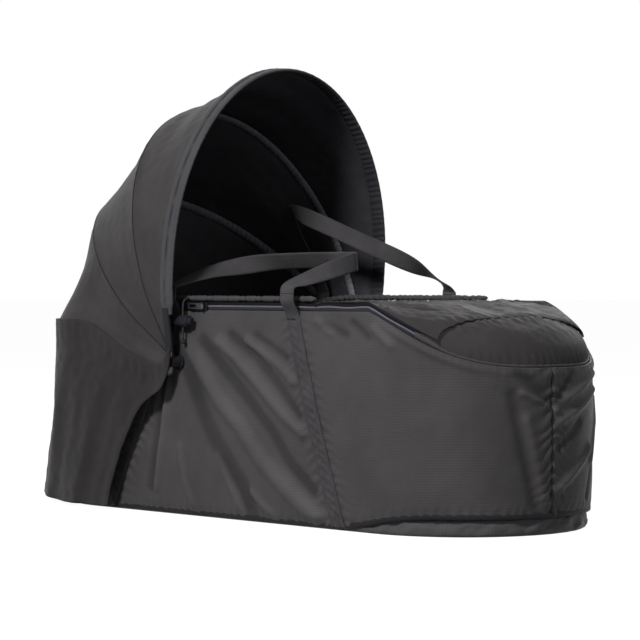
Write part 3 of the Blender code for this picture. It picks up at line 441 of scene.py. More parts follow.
def pleats(way, pitch, wander):
    """A row of small even folds between -1 and 1 that wander a little."""
    return np.sin(2 * math.pi * way / pitch + wander)


# the same folds also set the painted highlights and shade of the body's cloth
# height and half width of each fold, then its line along the side and above the floor, all in mm
side_folds = (
    (-2.6, 7, [(210, 211), (194, 159), (181, 100), (168, 37)]),
    (2.0, 6, [(203, 184), (200, 142), (194, 101), (181, 38)]),
    (-3.6, 13, [(226, 205), (244, 172), (266, 132), (294, 93), (336, 47), (354, 10)]),
    (4.2, 12, [(241, 213), (269, 185), (300, 150), (336, 121), (378, 79), (421, 47), (464, 19)]),
    (-3.0, 9, [(266, 218), (309, 182), (348, 151), (389, 115), (424, 75), (458, 48)]),
    (2.8, 9, [(297, 220), (330, 201), (372, 168), (413, 136), (444, 117)]),
    (-2.4, 8, [(318, 225), (360, 203), (401, 169), (436, 134)]),
    (2.0, 8, [(348, 221), (378, 208), (407, 193), (427, 177)]),
    (-1.6, 7, [(363, 225), (413, 201)]),
    (1.6, 6, [(226, 90), (238, 41), (254, 7)]),
    (1.6, 6, [(294, 85), (318, 46), (342, 9)]),
    (1.4, 6, [(354, 42), (395, 14)]),
    (1.6, 6, [(464, 248), (489, 233)]),
    (-1.4, 6, [(478, 241), (514, 229)]),
    (1.6, 7, [(559, 239), (581, 220)]),
    (-1.6, 6, [(523, 244), (549, 227)]),
)
foot_folds = (
    (-1.3, 9, [(712, 158), (722, 110), (744, 24)]),
    (1.4, 9, [(728, 130), (752, 40)]),
    (-2.2, 8, [(719, 184), (763, 147)]),
    (1.6, 5, [(723, 161), (768, 142)]),
    (-2.0, 6, [(797, 184), (774, 156)]),
    (2.0, 6, [(858, 180), (788, 154)]),
    (1.8, 6, [(858, 161), (774, 127)]),
    (-1.8, 6, [(812, 125), (774, 97)]),
    (1.8, 6, [(842, 95), (774, 52)]),
    (1.5, 7, [(900, 150), (850, 80)]),
    (-1.5, 7, [(880, 110), (840, 40)]),
)
side_lean, foot_lean = (-45, -6), (-37, 0)
straps = (
    ("near", "head", -0.212, -0.083),
    ("near", "middle", 0.203, 0.127),
    ("far", "head", -0.212, -0.150),
    ("far", "middle", 0.203, 0.080),
)
strap_foot_z = 0.004
strap_tack_z = 0.243
strap_half = 0.01125


def side_way(side, way):
    """The way round the body of a place along one side; a second call turns it back."""
    return way if side == "near" else 2 * side_length + foot_arc - way


def add_folds(along, up, folds, lean):
    total = np.zeros(np.shape(along))
    for height, wide, line in folds:
        moved = [((a + lean[0]) / 1000, (b + lean[1]) / 1000) for a, b in line]
        total += height / 1000 * bell(off_line(along, up, moved), wide * 0.00078)
    return total


def strap_line(foot_x, top_x, z):
    """How far along its side a strap's middle is at a height."""
    return between(foot_x, top_x, (z - strap_foot_z) / (strap_tack_z - strap_foot_z)) - corner_x


def free_folds(side, way, z):
    """Folds of the cloth before straps, seams and hems hold it, outwards."""
    strength, shift = (1.0, 0.0) if side == "near" else (0.8, 0.012)
    total = strength * add_folds(side_way(side, way) + shift, z, side_folds, side_lean)
    total = 2.5 * (total + add_folds(way, z, foot_folds, foot_lean)) + 0.0012
    total = np.where(total < 0, -0.0021 * np.tanh(-total / 0.0021), 0.0098 * np.tanh(total / 0.0098))
    return total + 0.0005 * ripple(way, z * 0.6, 0.11, 3) + 0.0002 * ripple(way, z, 0.034, 4)


def fold_light_and_shade(side, way, z):
    """Share of painted highlight on a fold's ridge and of painted shade in its valley, added to the cloth's
    colour.
    """
    if side == "head":
        return np.zeros(np.shape(z))
    total = add_folds(side_way(side, way), z, side_folds, side_lean) + add_folds(way, z, foot_folds, foot_lean)
    return np.where(total > 0, 0.30 * np.tanh(total / 0.0022), 0.42 * np.tanh(total / 0.0020))


def strap_lift(side, foot_x, top_x, z):
    """How far out a strap's back lies from the smooth wall."""
    return 0.45 * free_folds(side, side_way(side, strap_line(foot_x, top_x, z)), z)


def cloth_lift(side, way, z):
    """How far the cloth's outer face lies from the smooth wall."""
    if side == "head":
        return 0.0008 * ripple(way, z, 0.07, 8) + 0.0002 * ripple(way, z, 0.02, 9)
    x = plan(way)[0]
    top, foot = wall_top(x), wall_foot(x)
    along = side_way(side, way)
    # held flat at the top, at the foot and behind the cord lock
    hold = np.clip((top - z) / 0.016, 0.0, 1.0) * np.clip((z - foot) / 0.014, 0.0, 1.0)
    total = free_folds(side, way, z) * (0.15 + 0.85 * ease(hold))
    total *= 1 - 0.9 * bell(along - 0.193, 0.024, 4) * bell(z - 0.222, 0.040, 4)
    # pressed down under each strap and gathered beside its stitches
    for strap_side, _, foot_x, top_x in straps:
        if strap_side != side:
            continue
        slope = (top_x - foot_x) / (strap_tack_z - strap_foot_z)
        off = (along - strap_line(foot_x, top_x, z)) / math.hypot(1.0, slope)
        press = bell(off, 0.0165, 6) * (z < strap_tack_z + 0.004)
        total = between(total, strap_lift(side, foot_x, top_x, z), press)
        apart = np.abs(off) - strap_half
        beside = bell(apart, 0.013) * (apart > -0.002) * (z < strap_tack_z)
        gather = pleats(z + 0.55 * np.abs(off), 0.0125, 1.3 * ripple(z, along, 0.03, 11))
        total += 0.0010 * beside * gather * ease((apart + 0.002) / 0.004)
    # puckered along the zip, the hem and the foot seam
    total += 0.0004 * bell(top - z, 0.012) * pleats(way, 0.0085, 1.5 * ripple(way, z * 0.2, 0.04, 12))
    total += 0.0005 * bell(z - foot, 0.014) * pleats(way - 0.4 * z, 0.013, 1.5 * ripple(way, z * 0.2, 0.05, 13))
    apart = way - foot_seam
    gather = pleats(z + 0.7 * np.abs(apart), 0.015, 2.0 * ripple(z, apart, 0.04, 14))
    total += 0.0012 * bell(apart, 0.020) * gather - 0.0016 * bell(apart, 0.0016)
    # rolled over at the top of the foot
    rolled = ease((along - 0.500) / 0.05) * (1 - 0.6 * ease((along - 0.60) / 0.08))
    return total + 0.0030 * rolled * bell(top - 0.0065 - z, 0.0048)


def cloth_finish(name, colour, pitch, line_depth, roughness=0.46, gloss=0.06, crinkle=1.0):
    """Ripstop nylon: a fine weave with thicker threads in a small grid, slightly uneven in tone, with painted fold
    highlights and shade where a piece carries them.
    """
    material, tree, shader, place = new_finish(name)
    uv = add_node(tree, "SeparateXYZ", {0: place["UV"]}).outputs

    def grid_line(socket, width):
        cell = maths(tree, "FRACT", maths(tree, "MULTIPLY", socket, 1.0 / pitch))
        edge = maths(tree, "ABSOLUTE", maths(tree, "SUBTRACT", cell, 0.5))
        return maths(tree, "MULTIPLY", maths(tree, "SUBTRACT", edge, 0.5 - width), 1.0 / width, clamp=True)

    def thread_wave(socket):
        return maths(tree, "SINE", maths(tree, "MULTIPLY", socket, 2 * math.pi / 0.0009))

    across = maths(tree, "MULTIPLY", grid_line(uv["X"], 0.10), 0.35)
    lines = maths(tree, "MAXIMUM", across, grid_line(uv["Y"], 0.13))
    weave = maths(tree, "MULTIPLY", thread_wave(uv["X"]), thread_wave(uv["Y"]))
    mottled = add_node(tree, "TexNoise", {"Vector": place["Object"], "Scale": 14.0, "Detail": 4.0})
    creased = add_node(tree, "TexNoise", {
        "Vector": place["Object"], "Scale": 95.0, "Detail": 3.0, "Distortion": 0.4,
    }).outputs["Fac"]
    tone = two_tones(tree, mottled.outputs["Fac"], colour, (0.30, 0.84), (0.72, 1.14))
    deep = maths(tree, "MULTIPLY", lines, line_depth)
    lined = add_node(tree, "Mix", {"Factor": deep, "A": tone, "B": shade(colour, 0.45)}, data_type="RGBA")
    # painted highlight and shade of the folds: the colour is scaled by one plus the piece's fold value
    painted_fold_shade = add_node(tree, "Attribute", {}, attribute_name="painted_fold_shade").outputs["Fac"]
    fold_shaded = {0: lined.outputs["Result"], "Scale": maths(tree, "ADD", painted_fold_shade, 1.0)}
    height = maths(tree, "ADD", maths(tree, "MULTIPLY", lines, 0.5), maths(tree, "MULTIPLY", weave, 0.22))
    height = maths(tree, "ADD", height, maths(tree, "MULTIPLY", creased, 1.6 * crinkle))
    worn = {"Value": creased, "To Min": roughness - 0.08, "To Max": roughness + 0.08}
    feed(tree, shader, {
        "Base Color": add_node(tree, "VectorMath", fold_shaded, operation="SCALE").outputs[0],
        "Normal": bump(tree, height, 0.0004, 0.55),
        "Roughness": add_node(tree, "MapRange", worn).outputs["Result"],
        "Specular IOR Level": gloss,
    })
    return material


ripstop = cloth_finish("grey_ripstop", screen(82, 80, 81), 0.0030, 0.40)


def body_panel(name, side, start, end, columns, rows):
    """One panel of the body, from one way round to another."""
    way = np.linspace(start, end, columns)[:, None]
    x = plan(way)[0]
    z = between(wall_foot(x), wall_top(x), np.linspace(0.0, 1.0, rows))
    ways = np.broadcast_to(way, z.shape)
    face = belly(z) + cloth_lift(side, ways, z)
    back = np.minimum(face - 0.0012, belly(z) - panel_thickness + 0.0006)
    grids = [off_wall(ways, out, z) for out in (face, back)]
    panel = shell(name, *grids, [ripstop], np.stack([ways, z], axis=-1))
    # painted fold highlights on ridges and painted shade in valleys, kept on each point for the cloth's colour
    fold_shaded = np.tile(fold_light_and_shade(side, ways, z).ravel(), 2)
    layer = panel.data.attributes.new("painted_fold_shade", "FLOAT", "POINT")
    layer.data.foreach_set("value", fold_shaded.astype(np.float32))
    return panel


near_start, far_end = -head_turn, side_way("far", -head_turn)
near_cloth = body_panel("near_side_cloth", "near", near_start, foot_seam - seam_gap, 300, 92)
far_cloth = body_panel("far_side_cloth", "far", foot_seam + seam_gap, far_end, 300, 92)
head_cloth = body_panel("head_end_cloth", "head", far_end, body_round + near_start, 80, 50)
dress(near_cloth, "cot", "ripstop", "side_panel_near", "foot_panel")
dress(far_cloth, "cot", "ripstop", "side_panel_far", "foot_panel")
dress(head_cloth, "cot", "ripstop", "head_panel")


# Hem binding: a dark tape folded round the bottom edge of the panels and sewn through.
# Its section is a flat oval, a little wavy along the stitches.

hem_low, hem_high = -0.0012, 0.0052
hem_inner, hem_outer = -0.0030, 0.0011
binding = cloth_finish("dark_binding", screen(48, 47, 50), 0.0012, 0.35, crinkle=0.5)
ways = np.broadcast_to(np.linspace(0.0, body_round, 520, endpoint=False)[:, None], (520, 12))
angle = round_steps(12)
middle = wall_foot(plan(ways)[0]) + (hem_low + hem_high) / 2
up = np.sign(np.sin(angle)) * np.abs(np.sin(angle)) ** 0.6 * (hem_high - hem_low) / 2
across = np.sign(np.cos(angle)) * np.abs(np.cos(angle)) ** 0.6 * (hem_outer - hem_inner) / 2
across = across + (hem_outer + hem_inner) / 2 + belly(middle) + 0.0002 * pleats(ways, 0.009, 0.0)
hem_binding = loft("bottom_hem_binding", off_wall(ways, across, middle + up), [binding], closed=True)
dress(hem_binding, "cot", "ripstop")


# Base: a board and two load straps inside a cloth tray, whose edge shows as a wrinkled strip at the foot.
# The tray is made a little full and is drawn tight over the board's rounded lower edge.

base_height = 0.020
base_wall = 0.0018
base_inset = panel_thickness + 0.0003
base_reach = 0.060
# painted light: the tray's cloth is coloured paler than the body's nylon to stand for light on its downward face
base_cloth = cloth_finish("base_cloth", screen(90, 89, 91), 0.0026, 0.25, crinkle=1.6)


def tray_ring(inset, z, wrinkle):
    """One loop of the tray, inside the wall and wrinkled where it shows at the foot."""
    way = np.linspace(0.0, body_round, 520, endpoint=False)
    bare = ease((plan(way)[0] - 0.10) / 0.12)
    slack = 0.8 + ripple(way, z * 1.5, 0.030, 21) + 0.6 * ripple(way, z * 2, 0.011, 22)
    return off_wall(way, wrinkle * bare * slack - inset, z)


tray_profile = (
    (base_reach, 0.0, 0.0),
    (base_inset + 0.0050, 0.0, 0.0),
    (base_inset + 0.0022, 0.0005, 0.0003),
    (base_inset + 0.0007, 0.0018, 0.0006),
    (base_inset, 0.0045, 0.0009),
    (base_inset, 0.0080, 0.0011),
    (base_inset, 0.0115, 0.0011),
    (base_inset, 0.0150, 0.0009),
    (base_inset, 0.0180, 0.0005),
    (base_inset + 0.0002, base_height, 0.0),
    (base_inset + base_wall, base_height, 0.0),
    (base_inset + base_wall, base_wall + 0.0015, 0.0),
    (base_reach, base_wall + 0.0001, 0.0),
)
base_tray = loft("base_tray_cloth", [tray_ring(*entry) for entry in tray_profile], [base_cloth])
dress(base_tray, "cot", "base_cloth", "base_cover")


def grain_finish(name, colour, roughness, scale, depth, metallic=0.0, gloss=0.5):
    """A hard surface with fine grain: fibreboard, moulded plastic or brushed metal."""
    material, tree, shader, place = new_finish(name)
    grain = add_node(tree, "TexNoise", {"Vector": place["Object"], "Scale": scale, "Detail": 5.0}).outputs["Fac"]
    worn = {"Value": grain, "To Min": max(roughness - 0.1, 0.05), "To Max": roughness + 0.1}
    feed(tree, shader, {
        "Base Color": two_tones(tree, grain, colour, (0.3, 0.82), (0.7, 1.15)),
        "Normal": bump(tree, grain, depth, 0.4),
        "Roughness": add_node(tree, "MapRange", worn).outputs["Result"],
        "Metallic": metallic,
        "Specular IOR Level": gloss,
    })
    return material


def refinish(name, material):
    """Give a piece of the frame its own finish."""
    held = nodes[name]
    held.data.materials.clear()
    held.data.materials.append(material)


refinish("base_board", grain_finish("fibreboard", screen(120, 96, 70), 0.8, 220.0, 0.0003))


# Webbing: flat woven polyester bands, 22.5 mm wide. Four are sewn down the sides and bar-tacked
# at the top; the two carry handles grow out of them and turn over in rounded bends.

webbing_thickness = 0.0014
piece_gap = 0.0003
strap_stand_off = 0.0118
handle_axis_z = 0.272
edge_stitch_off = 0.0089


def webbing_finish(name, colour):
    """Woven band: a fine herringbone with a plain line near each edge."""
    material, tree, shader, place = new_finish(name)
    uv = add_node(tree, "SeparateXYZ", {0: place["UV"]}).outputs
    slanted = maths(tree, "ADD", uv["Y"], maths(tree, "PINGPONG", uv["X"], 0.0028))
    twill = maths(tree, "SINE", maths(tree, "MULTIPLY", slanted, 2 * math.pi / 0.0013))
    rib = maths(tree, "SINE", maths(tree, "MULTIPLY", uv["X"], 2 * math.pi / 0.0011))
    off_groove = maths(tree, "ABSOLUTE", maths(tree, "SUBTRACT", maths(tree, "ABSOLUTE", uv["X"]), 0.0093))
    groove = maths(tree, "MULTIPLY", maths(tree, "SUBTRACT", 0.0006, off_groove), 1500.0, clamp=True)
    uneven = add_node(tree, "TexNoise", {"Vector": place["Object"], "Scale": 40.0}).outputs["Fac"]
    mix = maths(tree, "ADD", maths(tree, "MULTIPLY", twill, 0.18), maths(tree, "MULTIPLY", uneven, 0.9))
    tone = two_tones(tree, mix, colour, (0.1, 0.62), (0.8, 1.22))
    deep = maths(tree, "MULTIPLY", groove, 0.6)
    dark = add_node(tree, "Mix", {"Factor": deep, "A": tone, "B": shade(colour, 0.45)}, data_type="RGBA")
    height = maths(tree, "ADD", maths(tree, "MULTIPLY", twill, 0.5), maths(tree, "MULTIPLY", rib, 0.3))
    feed(tree, shader, {
        "Base Color": dark.outputs["Result"],
        "Normal": bump(tree, maths(tree, "SUBTRACT", height, groove), 0.00035, 0.7),
        "Roughness": 0.58,
        "Specular IOR Level": 0.15,
    })
    return material


webbing = webbing_finish("woven_webbing", screen(78, 76, 78))
thread = cord_finish("sewing_thread", screen(104, 103, 106), 0.55, 0.0006)
dark_thread = cord_finish("dark_thread", screen(46, 46, 56), 0.55, 0.0006)
refinish("base_strap_head", webbing)
refinish("base_strap_foot", webbing)


def interp_rows(at, way, rows):
    """Rows of numbers read off at places along a way."""
    return np.stack([np.interp(at, way, part) for part in np.transpose(rows)], axis=-1)


def stitches(name, lines, pitch, length, thick, material, body, slant=0.0):
    """Rows of sewn stitches along lines of points and outward directions."""
    points, faces = [], []
    for line, outs in lines:
        way = way_along(line)
        for at in np.arange(pitch * 0.5, way[-1] - length * 0.5, pitch):
            middle = interp_rows(at, way, line)
            ray = interp_rows(at + length / 2, way, line) - middle
            out = interp_rows(at, way, outs)
            ray /= np.linalg.norm(ray) + 1e-12
            out /= np.linalg.norm(out) + 1e-12
            ray = ray * math.cos(slant) + np.cross(ray, out) * math.sin(slant)
            side = np.cross(ray, out)
            base = len(points)
            half, sunk = ray * length / 2, out * thick * 0.4
            high = middle + out * thick
            points += [
                middle - half - sunk,
                high - side * thick * 0.55,
                high + side * thick * 0.55,
                middle + side * thick - out * thick * 0.3,
                middle - side * thick - out * thick * 0.3,
                middle + half - sunk,
            ]
            for a, b in ((1, 2), (2, 3), (3, 4), (4, 1)):
                faces += [(base, base + a, base + b), (base + 5, base + b, base + a)]
    piece = mesh_piece(name, points, faces, [material], uvs=[(p[0] + p[1], p[2]) for p in points])
    dress(piece, body, "webbing")


def strip_grid(middle, across, out, columns):
    """Front and back of a band of webbing with thinner edges, and its uv."""
    share = np.linspace(-1.0, 1.0, columns)
    thin = webbing_thickness / 2 * (1 - 0.35 * np.abs(share) ** 5)
    base = middle[:, None, :] + across[:, None, :] * (share * strap_half)[None, :, None]
    lift = out[:, None, :] * thin[None, :, None]
    return base + lift, base - lift, grid_uvs(way_along(middle), share * strap_half)[..., ::-1]


def unit(rows):
    rows = np.asarray(rows, dtype=float)
    return rows / np.linalg.norm(rows, axis=-1, keepdims=True)


for side, word, foot_x, top_x in straps:
    sign = -1.0 if side == "near" else 1.0
    # sewn down the wall to the bar tack, then free up to the handle
    z = np.linspace(strap_foot_z, strap_tack_z, 110)
    seat = piece_gap + webbing_thickness / 2
    out = belly(z) + strap_lift(side, foot_x, top_x, z) * ease((strap_tack_z - z) / 0.012 + 0.1) + seat
    sewn = np.stack([strap_line(foot_x, top_x, z) + corner_x, sign * (half_width + out), z], axis=-1)
    share = np.linspace(0.04, 1.0, 20)
    swing = between(out[-1], strap_stand_off, ease(share / 0.8))
    rise = handle_axis_z - seat - strap_tack_z
    free = np.stack([np.full(20, top_x), sign * (half_width + swing), strap_tack_z + rise * share], axis=-1)
    middle = np.concatenate([sewn, free])
    across = np.tile((1.0, 0.0, 0.0), (len(middle), 1))
    outs = unit(np.cross(across, np.gradient(middle, axis=0)))
    outs *= np.sign(outs[:, 1:2]) * sign
    # sunk along its two rows of stitches and puckered between them
    front, back, uvs = strip_grid(middle, across, outs, 23)
    spread = np.linspace(-1.0, 1.0, 23)[None, :]
    from_middle = np.abs(spread)
    slant = middle[:, 2:3] - 0.0075 * spread * sign
    pucker = pleats(slant, 0.0115, 1.4 * ripple(slant, spread, 0.06, 31))
    face = 0.00085 * pucker * ease((0.74 - from_middle) / 0.12) - 0.0002
    face = face + 0.0004 * bell(from_middle - 0.90, 0.06) - 0.0005 * bell(from_middle - 0.79, 0.035)
    face = face * (middle[:, 2:3] < strap_tack_z - 0.001)
    name = "side_strap_%s_%s" % (side, word)
    strap = shell(name, front + outs[:, None, :] * face[..., None], back, [webbing], uvs)
    dress(strap, "cot", "webbing", "sewn_strap_%s_%s" % (side, word))
    line, face_out = middle[:108] + outs[:108] * (webbing_thickness / 2), outs[:108]
    rows = [(line + across[:108] * off, face_out) for off in (-edge_stitch_off, edge_stitch_off)]
    stitches(name + "_edge_stitching", rows, 0.0036, 0.0027, 0.00032, thread, "cot")
    tack_y = sign * (half_width + out[-1] + webbing_thickness / 2 + 0.0001)
    tack = []
    for height in (-0.0020, -0.0013, -0.0006):
        line = [(top_x + off, tack_y, strap_tack_z + height) for off in np.linspace(-0.0098, 0.0098, 12)]
        tack.append((line, [(0.0, sign, 0.0)] * 12))
    stitches(name + "_bar_tack", tack, 0.0011, 0.0014, 0.00030, dark_thread, "cot", slant=1.2)


def through(rows, steps):
    """A smooth run through rows of numbers, in so many steps from one row to the next."""
    rows = np.asarray(rows, dtype=float)
    rows = np.concatenate([2 * rows[:1] - rows[1:2], rows, 2 * rows[-1:] - rows[-2:-1]])
    t = np.linspace(0.0, 1.0, steps, endpoint=False)[:, None]
    spans = [
        b + 0.5 * ((c - a) * t + (2 * a - 5 * b + 4 * c - d) * t ** 2 + (3 * b - a - 3 * c + d) * t ** 3)
        for a, b, c, d in zip(rows, rows[1:], rows[2:], rows[3:])
    ]
    return np.concatenate(spans + [rows[-2:-1]])


# each handle from its middle strap to its head strap: place of the band's middle, then the way across it
handles = (
    ("near", [
        (0.1270, -0.1618, 0.2713, 1.0, 0.0, 0.0),
        (0.1270, -0.1590, 0.2795, 1.0, 0.0, -0.1),
        (0.1285, -0.1430, 0.2860, 0.9, 0.0, -0.4),
        (0.1330, -0.1020, 0.2975, 0.6, 0.0, -0.8),
        (0.1372, -0.0680, 0.3070, 0.1, 0.1, -1.0),
        (0.1378, -0.0600, 0.3085, 0.0, 0.1, -1.0),
        (0.1330, -0.0575, 0.3095, 0.0, 0.1, -1.0),
        (0.0700, -0.0580, 0.3100, 0.0, 0.5, -0.9),
        (0.0000, -0.0600, 0.3095, 0.1, 0.5, -0.9),
        (-0.0450, -0.0740, 0.3050, 0.4, 0.1, -0.9),
        (-0.0700, -0.1000, 0.2970, 0.8, 0.0, -0.6),
        (-0.0810, -0.1350, 0.2860, 1.0, 0.0, -0.2),
        (-0.0830, -0.1580, 0.2790, 1.0, 0.0, 0.0),
        (-0.0830, -0.1618, 0.2713, 1.0, 0.0, 0.0),
    ]),
    ("far", [
        (0.0800, 0.1618, 0.2713, 1.0, 0.0, 0.0),
        (0.0780, 0.1590, 0.2790, 0.9, -0.4, 0.0),
        (0.0680, 0.1500, 0.2880, 0.7, -0.7, 0.1),
        (0.0420, 0.1330, 0.3060, 0.4, -0.2, 0.7),
        (0.0000, 0.1160, 0.3260, 0.1, 0.3, 0.9),
        (-0.0500, 0.0980, 0.3480, 0.0, 0.4, 0.9),
        (-0.0950, 0.0810, 0.3680, 0.0, 0.1, 0.9),
        (-0.1130, 0.0760, 0.3745, -0.3, -0.3, 0.9),
        (-0.1240, 0.0790, 0.3720, -0.8, -0.1, 0.5),
        (-0.1310, 0.0880, 0.3600, -1.0, 0.0, 0.1),
        (-0.1400, 0.1150, 0.3290, -1.0, 0.0, 0.0),
        (-0.1490, 0.1540, 0.2840, -1.0, 0.0, 0.0),
        (-0.1500, 0.1618, 0.2713, -1.0, 0.0, 0.0),
    ]),
)
for side, keys in handles:
    run = through(keys, 10)
    middle, across = run[:, :3], unit(run[:, 3:])
    out = unit(np.cross(np.gradient(middle, axis=0), across))
    for _ in range(3):
        out[1:-1] = unit(out[:-2] + out[1:-1] * 2 + out[2:])
    way = way_along(middle)
    held = ease(way / 0.03) * ease((way[-1] - way) / 0.03)
    bow = out * (held * (0.0010 * np.sin(way / 0.045) + 0.0006 * np.sin(way / 0.017)))[:, None]
    front, back, uvs = strip_grid(middle, across, out, 11)
    cup = 0.0005 * (1 - np.linspace(-1.0, 1.0, 11) ** 2)[None, :, None] * held[:, None, None] * out[:, None, :]
    lift = bow[:, None, :] + cup
    handle = shell("carry_strap_" + side, front + lift, back + lift, [webbing], uvs)
    dress(handle, "carry_handle_" + side, "webbing", "handle_" + side)
    rows = []
    for face in (1.0, -1.0):
        for off in (-0.83, 0.83):
            line = middle + across * strap_half * off + bow + out * (face * webbing_thickness / 2 * 0.9)
            rows.append((line[2:-2], out[2:-2] * face))
    stitches("carry_strap_%s_stitching" % side, rows, 0.0040, 0.0028, 0.00030, thread, "carry_handle_" + side)


# Zips: a woven tape on the body and one on the hem and flap, with a moulded coil between them.
# Each side has a slider, whose pull hangs back, and a cloth garage that hides the zip's head end.

zip_start = -0.060
zip_seat = 0.0006
zip_rise = 0.0095
zip_middle = 0.0048
zip_foot_way = side_length + math.radians(26.0) * half_width
tape_thickness = 0.0012
coil_pitch, coil_step = 0.0019, 0.00038
flap_front = 0.166
tape_cloth = cloth_finish("zip_tape", screen(30, 30, 36), 0.0016, 0.30, crinkle=0.3, gloss=0.05)
lower_tape_cloth = cloth_finish("zip_lower_tape", screen(60, 59, 66), 0.0016, 0.30, crinkle=0.3)
coil_plastic = grain_finish("zip_coil", screen(122, 121, 130), 0.40, 500.0, 0.0001, gloss=0.3)
slider_metal = grain_finish("slider_metal", screen(62, 62, 66), 0.30, 260.0, 0.0001, metallic=0.85)
pull_metal = grain_finish("pull_metal", screen(80, 80, 84), 0.34, 260.0, 0.0001, metallic=0.6)


def zip_height(side, along, height):
    """Height above the floor of a line up the zip, which wanders up and down past the last strap."""
    wave = 0.0010 * ease((along - 0.36) / 0.06) * pleats(along - 0.36, 0.062, 0.0)
    return wall_top(plan(side_way(side, along))[0]) + height + wave * height / zip_rise


def zip_tape(part, side, start, end, low, high, body, replaced):
    """One tape with the coil on its inner edge."""
    lower = part == "body"
    along = np.linspace(start - corner_x, end, 130)[:, None]
    heights = np.linspace(low, high, 5)[None, :]
    z = zip_height(side, along, heights)
    ways = np.broadcast_to(side_way(side, along), z.shape)
    out = -0.0006 + 0.00025 * pleats(along, 0.011, 0.0) * (1 - heights / zip_rise)
    grids = [off_wall(ways, out - inset, z) for inset in (0.0, tape_thickness)]
    cloth = lower_tape_cloth if lower else tape_cloth
    tape = shell("zip_tape_%s_%s" % (part, side), *grids, [cloth], grid_uvs(along[:, 0], heights[0]))
    dress(tape, body, "zip_tape", replaced)
    along = np.arange(start - corner_x, end - 0.003, coil_step)[:, None]
    tooth = 0.5 + 0.5 * pleats(along, coil_pitch, 0.0 if lower else math.pi)
    angle = round_steps(8)[None, :]
    z = zip_height(side, along, zip_middle + (-0.0005 if lower else 0.0005))
    z = z + (0.0004 + 0.0001 * tooth) * np.sin(angle)
    ways = np.broadcast_to(side_way(side, along), z.shape)
    rings = off_wall(ways, -0.0002 + (0.0005 + 0.0004 * tooth) * np.cos(angle), z)
    dress(loft("zip_coil_%s_%s" % (part, side), rings, [coil_plastic]), body, "zip_tape")


for side in ("near", "far"):
    low, high = zip_middle - 0.0002, zip_middle + 0.0002
    hem_end = flap_front - 0.0004 - corner_x
    zip_tape("body", side, zip_start, zip_foot_way, zip_seat, low, "cot", "zip_lower_" + side)
    zip_tape("hem", side, zip_start, hem_end, high, zip_rise, "cot", "zip_upper_" + side)
    zip_tape("flap", side, flap_front, zip_foot_way, high, zip_rise, "flap", "flap_zip_" + side)
    refinish("zip_slider_" + side, slider_metal)
    refinish("zip_pull_" + side, pull_metal)

for side, sign in (("near", -1.0), ("far", 1.0)):
    # the garage: a folded tab with a crowned face, sewn along its two long edges
    low, high = np.asarray(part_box("zip_garage_" + side))
    middle, half = (low + high) / 2, (high - low) / 2
    steps = np.linspace(-1.0, 1.0, 13)
    u, v = np.meshgrid(steps, steps, indexing="ij")
    crown = sign * half[1] * (0.45 + 0.55 * (1 - u ** 4) * (1 - v ** 4))
    grids = [
        np.stack([middle[0] + half[0] * u, middle[1] + face * crown, middle[2] + half[2] * v], axis=-1)
        for face in (1.0, -1.0)
    ]
    uvs = np.stack([u * half[0], v * half[2]], axis=-1)
    garage = shell("zip_garage_cloth_" + side, *grids, [tape_cloth], uvs)
    dress(garage, "cot", "zip_tape", "zip_garage_" + side)
    rows = []
    for z in (low[2] + 0.0012, high[2] - 0.0012):
        y = sign * (max(abs(low[1]), abs(high[1])) - 0.0004)
        line = [(x, y, z) for x in np.linspace(low[0] + 0.001, high[0] - 0.001, 10)]
        rows.append((line, [(0.0, sign, 0.0)] * 10))
    stitches("zip_garage_stitching_" + side, rows, 0.0030, 0.0022, 0.00028, thread, "cot")


# Hem of the opening: ripstop gathered over an elastic cord, in slanting pleats all the way round.
# It stands on the zip's upper tape and is left open where the flap begins.

hem_width, hem_height = 0.009, 0.0078


def rings_along(middle, outs, ups, across, high):
    """Rings of a section whose points lie so far across and up from each place of a line."""
    return middle[:, None] + outs[:, None] * across[..., None] + ups[:, None] * high[..., None]


def gathered_tube(name, middle, outs, ups, wide, tall, body, replaced, seed, around):
    """A ruched tube: pleats that slant round it, deep on top and shallow where it is sewn on."""
    pitch = 0.0098
    way = way_along(middle)[:, None]
    wander = 1.1 * ripple(way, way * 0, 0.05, seed)
    size = 0.10 * ripple(way, way * 0, 0.021, seed + 1)
    angle = round_steps(around)[None, :]
    pleat = pleats(way, pitch, 2.3 * np.sin(angle - 0.5) + 1.6 * wander)
    fine = pleats(way, pitch * 0.43, 2.4 * np.sin(angle) + 2 * wander)
    grow = 0.80 + 0.26 * (0.5 + 0.5 * pleat) ** 2.2 + 0.05 * fine + 0.9 * size
    grow = np.minimum(grow, 1.0) * (1 - 0.30 * bell(np.minimum(way, way[-1] - way), 0.004))
    rings = rings_along(middle, outs, ups, wide / 2 * np.cos(angle) * grow, tall / 2 * np.sin(angle) * grow)
    uvs = grid_uvs(way[:, 0] * 1.6, np.linspace(0, math.pi * (wide + tall) / 2, around))
    dress(loft(name, rings, [ripstop], uvs=uvs), body, "ripstop", replaced)


hem_end = flap_front - 0.0078 - corner_x
far_hem_end = side_way("far", hem_end)
way = np.concatenate([np.arange(hem_end, 0.0, -0.0012), np.arange(body_round, far_hem_end, -0.0012)])
x, y, out_x, out_y = plan(way)
hem_foot = wall_top(x) + between(zip_rise, 0.0, ease((zip_start - 0.014 - x) / 0.120)) + piece_gap
middle = off_wall(way, -hem_width / 2, hem_foot + hem_height / 2)
outs = np.stack([out_x, out_y, np.zeros_like(x)], axis=-1)
ups = np.tile((0.0, 0.0, 1.0), (len(x), 1))
gathered_tube("opening_hem_gathers", middle, outs, ups, hem_width, hem_height, "cot", "opening_hem", 41, 20)


# Apron: a flap that the zips open, and a cover sewn over the foot, both grey nylon.
# An elastic seam joins them, so the cloth bunches into small tucks along it.

